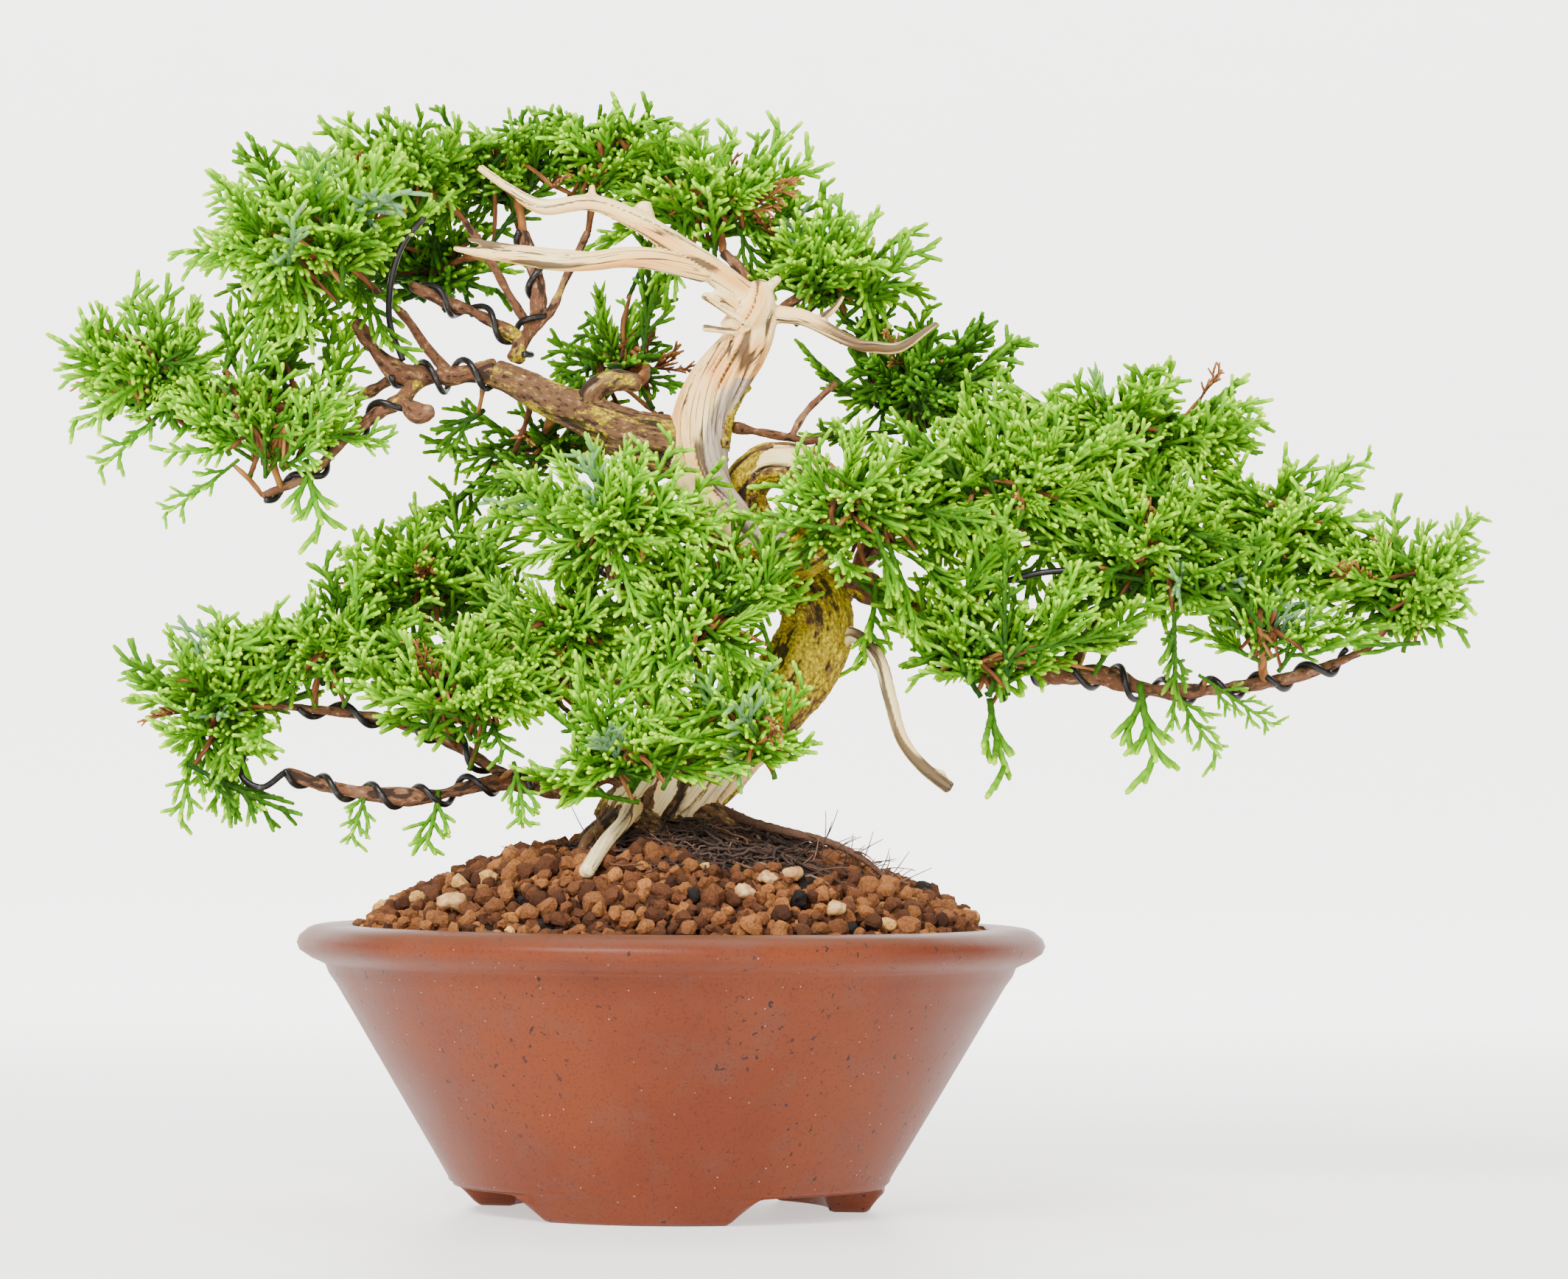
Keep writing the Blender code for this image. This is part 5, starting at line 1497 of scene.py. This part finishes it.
def cord(rng, path, radius, pitch, fresh, sides=5):
    """One scale-leaf cord along a path: its points, quads, triangles and how near a tip each point is, with
    painted highlight on the scales that stand out and painted shade on the others.
    """
    length = arc_length(path)
    count = max(3, int(round(length[-1] / pitch)))
    at = np.linspace(0, length[-1], count)
    centres = np.stack([np.interp(at, length, column) for column in path.T], -1)
    along, side, other = carried_frames(centres)
    share = at / length[-1]
    radii = radius * (1 - 0.10 * share)
    radii[-1] *= 0.86
    odd = (np.arange(count)[:, None] + np.arange(sides)[None, :]) % 2  # every second corner stands out
    scale = radii[:, None] * (1 + 0.09 * (2 * odd - 1))
    points = (centres[:, None] + rings_round(side, other, sides) * scale[..., None]).reshape(-1, 3)
    here, after = around(sides)
    tip = len(points)
    points = np.vstack([points, centres[-1] + along[-1] * radii[-1] * 0.6, centres[0]])
    end = (count - 1) * sides
    tris = np.vstack([
        np.stack([end + here, end + after, np.full(sides, tip)], -1),
        np.stack([after, here, np.full(sides, tip + 1)], -1),
    ])
    low, high = fresh
    # The corners that stand out get a lighter tone and the others a darker one: painted highlight and shade on the
    # scales.
    tone = low + (high - low) * share[:, None] ** 2.2 + 0.07 * (2 * odd - 1) + rng.normal(0, 0.03, (count, 1))
    return points, band(count - 1, sides), tris, np.append(tone.ravel(), (high, low))


def bent_path(start, heading, length, bend, steps=6):
    """Points from the start along a heading, bent away more and more."""
    t = np.linspace(0, 1, steps)[:, None]
    return start + heading * length * t + bend * length * t**2


def rolled(heading, toward, angle):
    """A heading turned by an angle towards another direction."""
    return unit(heading * math.cos(angle) + toward * math.sin(angle))


def along_path(path, share):
    """The point at a share of a path whose points are evenly spaced."""
    return np.array([np.interp(share, np.linspace(0, 1, len(path)), column) for column in path.T])


def spray(rng, settings, length, gap, reach, spread):
    """A flattened spray along +X: a leader, its side cords, and blunt stubs on the outer part of each."""
    radius, pitch = settings.cord, settings.scale_pitch
    sway = np.array((0, rng.normal(0, 0.07), rng.normal(0.08, 0.07)))
    leader = bent_path(np.zeros(3), AHEAD, length, sway, 9)
    parts = [cord(rng, leader, radius * 1.05, pitch, (0.04, 0.95))]
    for k, t in enumerate(np.arange(0.20, 0.97, gap / length)):
        flip = 1 if k % 2 else -1
        out = unit(np.array((0, flip, rng.normal(0.1, spread))))
        heading = rolled(AHEAD, out, math.radians(rng.uniform(26, 42)))
        long = reach * (1 - 0.58 * t) * rng.uniform(0.7, 1.15)
        bend = np.array((0.05, -0.03 * flip, 0.04)) + rng.normal(0, 0.02, 3)
        path = bent_path(along_path(leader, t), heading, long, bend)
        low = 0.08 + 0.30 * t
        parts.append(cord(rng, path, radius * rng.uniform(0.9, 1.02), pitch, (low, rng.uniform(0.82, 1.0))))
        stubs = int(long / (2.9 * MM))
        for j in range(stubs):
            share = 0.22 + 0.62 * (j + 0.5) / stubs
            turn = flip if j % 2 else -flip
            away = unit(np.cross(heading, (0, 0, 1)) * turn + np.array((0, 0, rng.normal(0, 1.2 * spread))))
            aim = rolled(heading, away, math.radians(rng.uniform(24, 38)))
            short = rng.uniform(3.0, 5.6) * MM * (1.15 - 0.45 * share)
            stub = bent_path(along_path(path, share), aim, short, heading * 0.10, 4)
            tips = (low + 0.12 + 0.15 * share, rng.uniform(0.82, 1.0))
            parts.append(cord(rng, stub, radius * rng.uniform(0.86, 1.0), pitch, tips))
    return bundle(parts)


def needle_shoot(rng, settings, length):
    """A juvenile shoot: a leader with whorls of short pointed needles."""
    leader = bent_path(np.zeros(3), AHEAD, length, np.array((0, 0, 0.1)))
    parts = [cord(rng, leader, settings.cord * 0.8, settings.scale_pitch, (0.3, 0.8))]
    for k, x in enumerate(np.arange(0.12, 1.0, 0.085)):
        for j in range(3):
            angle = (j + 0.5 * (k % 2)) * math.tau / 3 + rng.normal(0, 0.2)
            out = np.array((0, math.cos(angle), math.sin(angle)))
            heading = rolled(AHEAD, out, math.radians(rng.uniform(24, 40)))
            long = rng.uniform(4.2, 6.2) * MM * (1.05 - 0.3 * x)
            path = bent_path(np.array((x * length, 0, 0.1 * length * x * x)), heading, long, out * -0.12, 4)
            t = np.linspace(0, 1, 5)
            centres = np.stack([np.interp(t, np.linspace(0, 1, 4), column) for column in path.T], -1)
            radii = settings.cord * np.array((0.55, 0.8, 0.75, 0.5, 0.16))
            points, quads, tris = sweep(centres, radii, 5)
            tone = np.append(np.repeat(np.linspace(0.45, 0.9, 5), 5), (0.45, 0.95))
            parts.append((points, quads, tris, tone))
    return bundle(parts)


def bundle(parts):
    """Several cords as one, with their tones."""
    points, quads, tris = joined([part[:3] for part in parts])
    return points, quads, tris, np.concatenate([part[3] for part in parts])


def spray_stock(rng, settings):
    """A stock of sprays by kind, each with its length."""
    stock = {"needle": []}
    for kind, count, lengths, gap, reach, spread in SPRAY_KINDS:
        stock[kind] = []
        for _ in range(count):
            length = rng.uniform(*lengths) * MM
            stock[kind].append((length, spray(rng, settings, length, gap * MM, rng.uniform(*reach) * MM, spread)))
    for _ in range(3):
        length = rng.uniform(13, 17) * MM
        stock["needle"].append((length, needle_shoot(rng, settings, length)))
    return stock


def facing(direction, normal):
    """A turn that takes +X to the direction, with +Z near the normal."""
    x = unit(direction)
    y = unit(np.cross(normal, x))
    return np.stack([x, y, np.cross(x, y)], -1)


class Growth:
    """One pad's twigs and sprays, as they grow."""

    def __init__(self, name, number, stock, wood, settings):
        self.rng = np.random.default_rng(PAD_SEED + number)
        self.name, self.stock, self.wood, self.settings = name, stock, wood, settings
        self.mood, self.density = PAD_MOODS[name]
        self.middle_tone, self.vary = MOOD_TONES[self.mood]
        low, high = (np.array(corner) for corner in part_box(name))
        self.centre, self.halves = (low + high) / 2, (high - low) / 2
        self.lowest, self.highest = np.array(CAD_BOX[0]) + 2 * MM, np.array(CAD_BOX[1]) - 3 * MM
        self.shapes, self.tones = [], []

    def add(self, shape, tone):
        points, quads, tris, tips = shape
        self.shapes.append((points, quads, tris))
        tone = np.full(len(points), np.clip(tone, 0.02, 0.98))
        self.tones.append(np.stack([tone, np.clip(tips, 0.01, 0.99)], -1))

    def pick(self, kind):
        """Any one of the stock's sprays of a kind."""
        return self.stock[kind][self.rng.integers(len(self.stock[kind]))]

    def spray(self, chosen, tip, aim, normal, size, tone):
        """Sets a stock spray with its tip at a point, and returns where it starts."""
        length, (points, quads, tris, tips) = chosen
        turn = facing(aim, normal)
        base = tip - unit(aim) * length * size
        self.add((points * size @ turn.T + base, quads, tris, tips), tone)
        return base

    def twig(self, start, end, thick, thin):
        middle = (start + end) / 2 + self.rng.normal(0, 0.06, 3) * np.linalg.norm(end - start)
        rows = smooth_run(np.vstack([start, middle, end]), 2.2 * MM)
        radii = np.linspace(thick, thin, len(rows)) * (1 + 0.15 * self.rng.normal(size=len(rows)))
        points, quads, tris = sweep(rows, radii, 6)
        shades = self.rng.uniform(0.1, 0.8) + 0.2 * self.rng.normal(size=len(points))
        self.add((points, quads, tris, shades), WITHERED)

    def skeleton(self):
        """Twigs from the nearest wood to the pad's hub, and on to where its sprays start."""
        centre, halves = self.centre, self.halves
        root = nearest(self.wood, centre - (0, 0, halves[2] * 0.5))
        self.hub = centre * 0.62 + root[:3] * 0.38 - (0, 0, halves[2] * 0.15)
        self.twig(root[:3], self.hub, min(1.5 * MM, root[3] * 0.8), 1.0 * MM)
        self.hubs = np.array([centre + halves * unit(self.rng.normal(size=3)) * 0.42 for _ in range(6)])
        for at in self.hubs:
            self.twig(self.hub, at, 0.95 * MM, 0.7 * MM)

    def spray_count(self):
        """How many sprays cover the pad, from the outside of an ellipsoid as large."""
        wide, deep, tall = self.halves
        p = 1.6  # the power that brings the sum near the true area
        area = 4 * math.pi * (((wide * deep) ** p + (wide * tall) ** p + (deep * tall) ** p) / 3) ** (1 / p)
        return int(area / (100 * MM * MM) * self.density * self.settings.fullness)

    def cover(self):
        """Sprays all round the pad but its underside, a quarter of them deeper in."""
        rng, centre, halves, mood = self.rng, self.centre, self.halves, self.mood
        needles = 0.3 if self.name in NEEDLED_PADS else 0.06
        slim_above = 0.5 if mood == "shade" else 0.75
        count = self.spray_count()
        for k in range(count):
            z = 1 - 1.66 * (k + 0.5) / count
            angle = k * GOLDEN_ANGLE + rng.normal(0, 0.25)
            ring = math.sqrt(max(0, 1 - z * z))
            out = unit(np.array((ring * math.cos(angle), ring * math.sin(angle), z)) + rng.normal(0, 0.14, 3))
            inner = rng.random() < 0.25
            depth = rng.uniform(0.6, 1.0) if inner else rng.uniform(1.1, 1.7)
            lowest = self.lowest + rng.uniform(0, 5, 3) * MM
            tip = np.clip(centre + out * halves * depth, lowest, self.highest - rng.uniform(0, 5, 3) * MM)
            aim = unit(unit(tip - self.hub) + 0.5 * out + (0, 0, 0.22) + rng.normal(0, 0.20, 3))
            draw = rng.random()
            kind = "needle" if draw < needles else "slim" if draw > slim_above else "full"
            if np.linalg.norm(tip - self.hub) < SHORT_REACH and kind != "needle":
                kind = "short"
            chosen = self.pick(kind)
            normal = unit(np.array((0, 0, 1)) + out * 0.5 + rng.normal(0, 0.6, 3))
            # Sprays deeper in the pad take a darker tone: painted shade.
            tone = self.middle_tone + rng.normal(0, self.vary) - (0.16 if inner else 0)
            if mood != "waxy":
                tone = min(tone, GREENEST)
            if mood == "mixed" and rng.random() < 0.10 or mood == "fresh" and rng.random() < 0.04:
                tone = rng.uniform(*WAXY_STRAY)
            size = rng.uniform(0.92, 1.2) * min(1, 0.6 + halves.min() / (24 * MM))
            tone = min(tone, WAXIEST)
            if rng.random() < self.settings.withered:
                size, tone = 0.55 * size, WITHERED
            base = self.spray(chosen, tip, aim, normal, size, tone)
            self.twig(nearest(self.hubs, base), base + unit(aim) * 1.5 * MM, 0.6 * MM, 0.5 * MM)

    def close_gaps(self, neighbours):
        """Sprays towards the pads beside this one, and in the gaps that FILLS names."""
        rng, centre = self.rng, self.centre
        most = 17 if self.name in CLOSE_PADS else 10
        spots = []
        for other in neighbours:
            gap = np.linalg.norm(other - centre)
            for _ in range(max(3, int(most * (1 - gap / (66 * MM))))):
                spots.append(centre + (other - centre) * rng.uniform(0.32, 0.62) + rng.normal(0, 5, 3) * MM)
        for x, y, z, more in FILLS.get(self.name, ()):
            spots += [place(x, y, z) + rng.normal(0, 6, 3) * MM for _ in range(more)]
        limit = WAXIEST if self.mood == "waxy" else GREENEST
        for k, at in enumerate(spots):
            near = nearest(self.hubs, at)
            tip = at + unit(at - near + (0, 0, 4 * MM)) * rng.uniform(3, 8) * MM
            tip = np.clip(tip, self.lowest, self.highest)
            aim = unit(unit(tip - near) + (0, 0, 0.2) + rng.normal(0, 0.2, 3))
            close = np.linalg.norm(tip - near) < SHORT_REACH
            chosen = self.pick("short" if close else "full" if k % 3 else "slim")
            # Sprays in the gaps between pads are a little darker: painted shade.
            tone = min(self.middle_tone - 0.06 + rng.normal(0, self.vary), limit)
            normal = unit(np.array((0, 0, 1)) + rng.normal(0, 0.5, 3))
            base = self.spray(chosen, tip, aim, normal, rng.uniform(0.92, 1.15), tone)
            self.twig(near, base + aim * 1.5 * MM, 0.75 * MM, 0.5 * MM)

    def lone_sprays(self):
        """The pad's sprays that hang or reach out by themselves."""
        for pad, base, aim, long in LONE_SPRAYS:
            if pad != self.name:
                continue
            chosen = self.pick("short" if long < LONE_SHORT else "slim")
            base, aim = place(*base), unit(np.array(aim, float))
            normal = unit(self.rng.normal(0, 0.5, 3) + (0, -1, 0.3))
            self.spray(chosen, base + aim * long * MM, aim, normal, long * MM / chosen[0], self.middle_tone)
            self.twig(nearest(self.wood, base)[:3], base + aim * 2 * MM, 0.8 * MM, 0.55 * MM)


def stem_points():
    """Every place on the live wood that a pad can grow from, with the wood's radius."""
    rows = [smooth_run(world(rows), 1.5 * MM) for stems in STEMS.values() for rows in stems]
    for live in (TRUNK[2:17], LEFT_LIMB, LIMB_ELBOW):
        rows.append(smooth_run(world([row[:4] for row in live]), 2 * MM))
    return np.vstack(rows)


class BONSAI_OT_foliage(bpy.types.Operator):
    """Grows each pad of foliage out of the nearest branch"""

    bl_idname = "bonsai.foliage"
    bl_label = "Foliage"

    def execute(self, context):
        settings = context.scene.bonsai_leaf
        finish = leaf_finish(settings)
        stock = spray_stock(np.random.default_rng(SPRAY_SEED), settings)
        wood = stem_points()
        centres = {name: np.array(sum(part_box(name), Vector()) / 2) for name in PAD_MOODS}
        for number, (name, centre) in enumerate(centres.items()):
            growth = Growth(name, number, stock, wood, settings)
            growth.skeleton()
            growth.cover()
            growth.close_gaps([at for at in centres.values() if 1 * MM < np.linalg.norm(at - centre) < 50 * MM])
            growth.lone_sprays()
            mesh = make_mesh(name + "_sprays", *joined(growth.shapes))
            set_tones(mesh, np.vstack(growth.tones))
            piece(name + "_sprays", mesh, finish, [name])
        return {"FINISHED"}


# ---------------------------------------------------------------- the stage


STAGE_RISE = (1.3, 0.7, 3.0)  # where the floor starts to rise, the bend's radius, the backdrop's top
STAGE_MIDDLE = (0, 0, 0.14)  # what every lamp points at
CAMERA_SHIFT, CAMERA_HEIGHT, AIM_HEIGHT = 0.003, 0.103, 0.138
CAMERA_ROLL = math.radians(0.4)


class StageSettings(bpy.types.PropertyGroup):
    backdrop: FloatVectorProperty(
        name="Backdrop", description="Colour of the floor and backdrop",
        subtype="COLOR", default=(0.82, 0.815, 0.81),
    )
    glow: FloatProperty(name="Backdrop glow", description="Light given off by the backdrop", default=2.8)
    floor_glow: FloatProperty(name="Floor glow", description="Light given off by the floor", default=0.85)
    key_power: FloatProperty(
        name="Key light", description="Power of the large front light in watts", default=54.0, unit="POWER",
    )
    fill_power: FloatProperty(
        name="Fill light", description="Power of the side lights in watts", default=9.5, unit="POWER",
    )
    sky: FloatProperty(name="Sky", description="Strength of the even light from all round", default=0.55)
    distance: FloatProperty(
        name="Camera distance", description="From the origin to the camera", default=1.255, unit="LENGTH",
    )
    lens: FloatProperty(name="Lens", description="Focal length in millimetres", default=119.0, unit="CAMERA")


def lamp(name, at, size, power, colour=(1, 1, 1)):
    """A soft rectangular light that points at the stage's middle."""
    light = bpy.data.lights.new(name, "AREA")
    light.shape = "RECTANGLE"
    light.size, light.size_y = size
    light.energy = power
    light.color = colour
    holder = bpy.data.objects.new(name, light)
    bpy.context.scene.collection.objects.link(holder)
    holder.location = at
    holder.rotation_euler = (Vector(STAGE_MIDDLE) - Vector(at)).to_track_quat("-Z", "Y").to_euler()


class BONSAI_OT_stage(bpy.types.Operator):
    """Sets the pale floor, the soft lights and the camera"""

    bl_idname = "bonsai.stage"
    bl_label = "Stage"

    def execute(self, context):
        settings = context.scene.bonsai_stage
        r = Recipe("backdrop")
        grain = r.noise(r.stretched(r.place(), (6, 60, 6)), 3, 4, 0.6)
        tone = r.blend(r.between(grain, 0.35, 0.7), settings.backdrop, tuple(0.965 * c for c in settings.backdrop))
        r.shader.inputs["Emission Color"].default_value = (1.0, 0.96, 0.93, 1)
        along = r.node("SeparateXYZ")
        r.feed(along.inputs[0], r.place())
        glow = r.between(along.outputs[1], 0.1, 1.3, settings.floor_glow, settings.glow)
        r.feed(r.shader.inputs["Emission Strength"], glow)
        finish = r.finish(tone, 0.42, Specular_IOR_Level=0.3)
        far, bend, top = STAGE_RISE
        rows = [(-2.6, 0.0), (far, 0.0)]
        rows += [(far + bend * math.sin(a), bend - bend * math.cos(a)) for a in np.linspace(0.1, math.pi / 2, 14)]
        rows.append((far + bend, top))
        points = np.array([(x, y, z) for y, z in rows for x in (-3.2, 3.2)])
        count = np.arange(len(rows) - 1) * 2
        quads = np.stack([count, count + 1, count + 3, count + 2], -1)
        floor = bpy.data.objects.new("backdrop", make_mesh("backdrop", points, quads))
        floor.data.materials.append(finish)
        context.scene.collection.objects.link(floor)

        world_light = bpy.data.worlds.new("studio")
        world_light.use_nodes = True
        sky = world_light.node_tree.nodes["Background"].inputs
        sky["Color"].default_value = (1.0, 1.0, 1.0, 1)
        sky["Strength"].default_value = settings.sky
        context.scene.world = world_light
        lamp("key", (-0.55, -1.25, 1.1), (0.9, 0.35), settings.key_power, (1.0, 0.985, 0.96))
        lamp("front", (-0.15, -1.3, 0.42), (0.8, 0.07), settings.fill_power * 0.6)
        lamp("right_fill", (1.3, -0.8, 0.7), (0.8, 1.0), settings.fill_power)
        lamp("left_fill", (-1.5, -0.1, 0.6), (0.8, 1.0), settings.fill_power * 0.6)
        lamp("top", (0.1, 0.25, 1.5), (1.0, 1.0), settings.fill_power * 1.2)

        lens = bpy.data.cameras.new("camera")
        lens.lens, lens.sensor_width = settings.lens, 36.0
        camera = bpy.data.objects.new("camera", lens)
        context.scene.collection.objects.link(camera)
        camera.location = (CAMERA_SHIFT, -settings.distance, CAMERA_HEIGHT)
        look = Vector((CAMERA_SHIFT, 0, AIM_HEIGHT)) - camera.location
        roll = Euler((0, 0, CAMERA_ROLL)).to_quaternion()
        camera.rotation_euler = (look.to_track_quat("-Z", "Y") @ roll).to_euler()
        context.scene.camera = camera
        return {"FINISHED"}


class BONSAI_PT_panel(bpy.types.Panel):
    """Lists the bonsai's steps"""

    bl_label = "Bonsai"
    bl_idname = "BONSAI_PT_panel"
    bl_space_type = "VIEW_3D"
    bl_region_type = "UI"
    bl_category = "Bonsai"

    def draw(self, context):
        for step in STEPS:
            self.layout.operator(step.bl_idname)


STEPS = (
    BONSAI_OT_stage, BONSAI_OT_pot, BONSAI_OT_drainage, BONSAI_OT_soil, BONSAI_OT_pebbles, BONSAI_OT_roots,
    BONSAI_OT_trunk, BONSAI_OT_branches, BONSAI_OT_wires, BONSAI_OT_foliage,
)
SETTINGS = {
    "bonsai_pot": PotSettings, "bonsai_soil": SoilSettings, "bonsai_wood": WoodSettings,
    "bonsai_leaf": LeafSettings, "bonsai_stage": StageSettings,
}


def register():
    for made in (*SETTINGS.values(), *STEPS, BONSAI_PT_panel):
        bpy.utils.register_class(made)
    for name, group in SETTINGS.items():
        setattr(bpy.types.Scene, name, PointerProperty(type=group))


def unregister():
    for name in SETTINGS:
        delattr(bpy.types.Scene, name)
    for made in (BONSAI_PT_panel, *STEPS[::-1], *list(SETTINGS.values())[::-1]):
        bpy.utils.unregister_class(made)


def main():
    register()
    for step in STEPS:
        group, action = step.bl_idname.split(".")
        getattr(getattr(bpy.ops, group), action)()


if __name__ == "__main__":
    main()
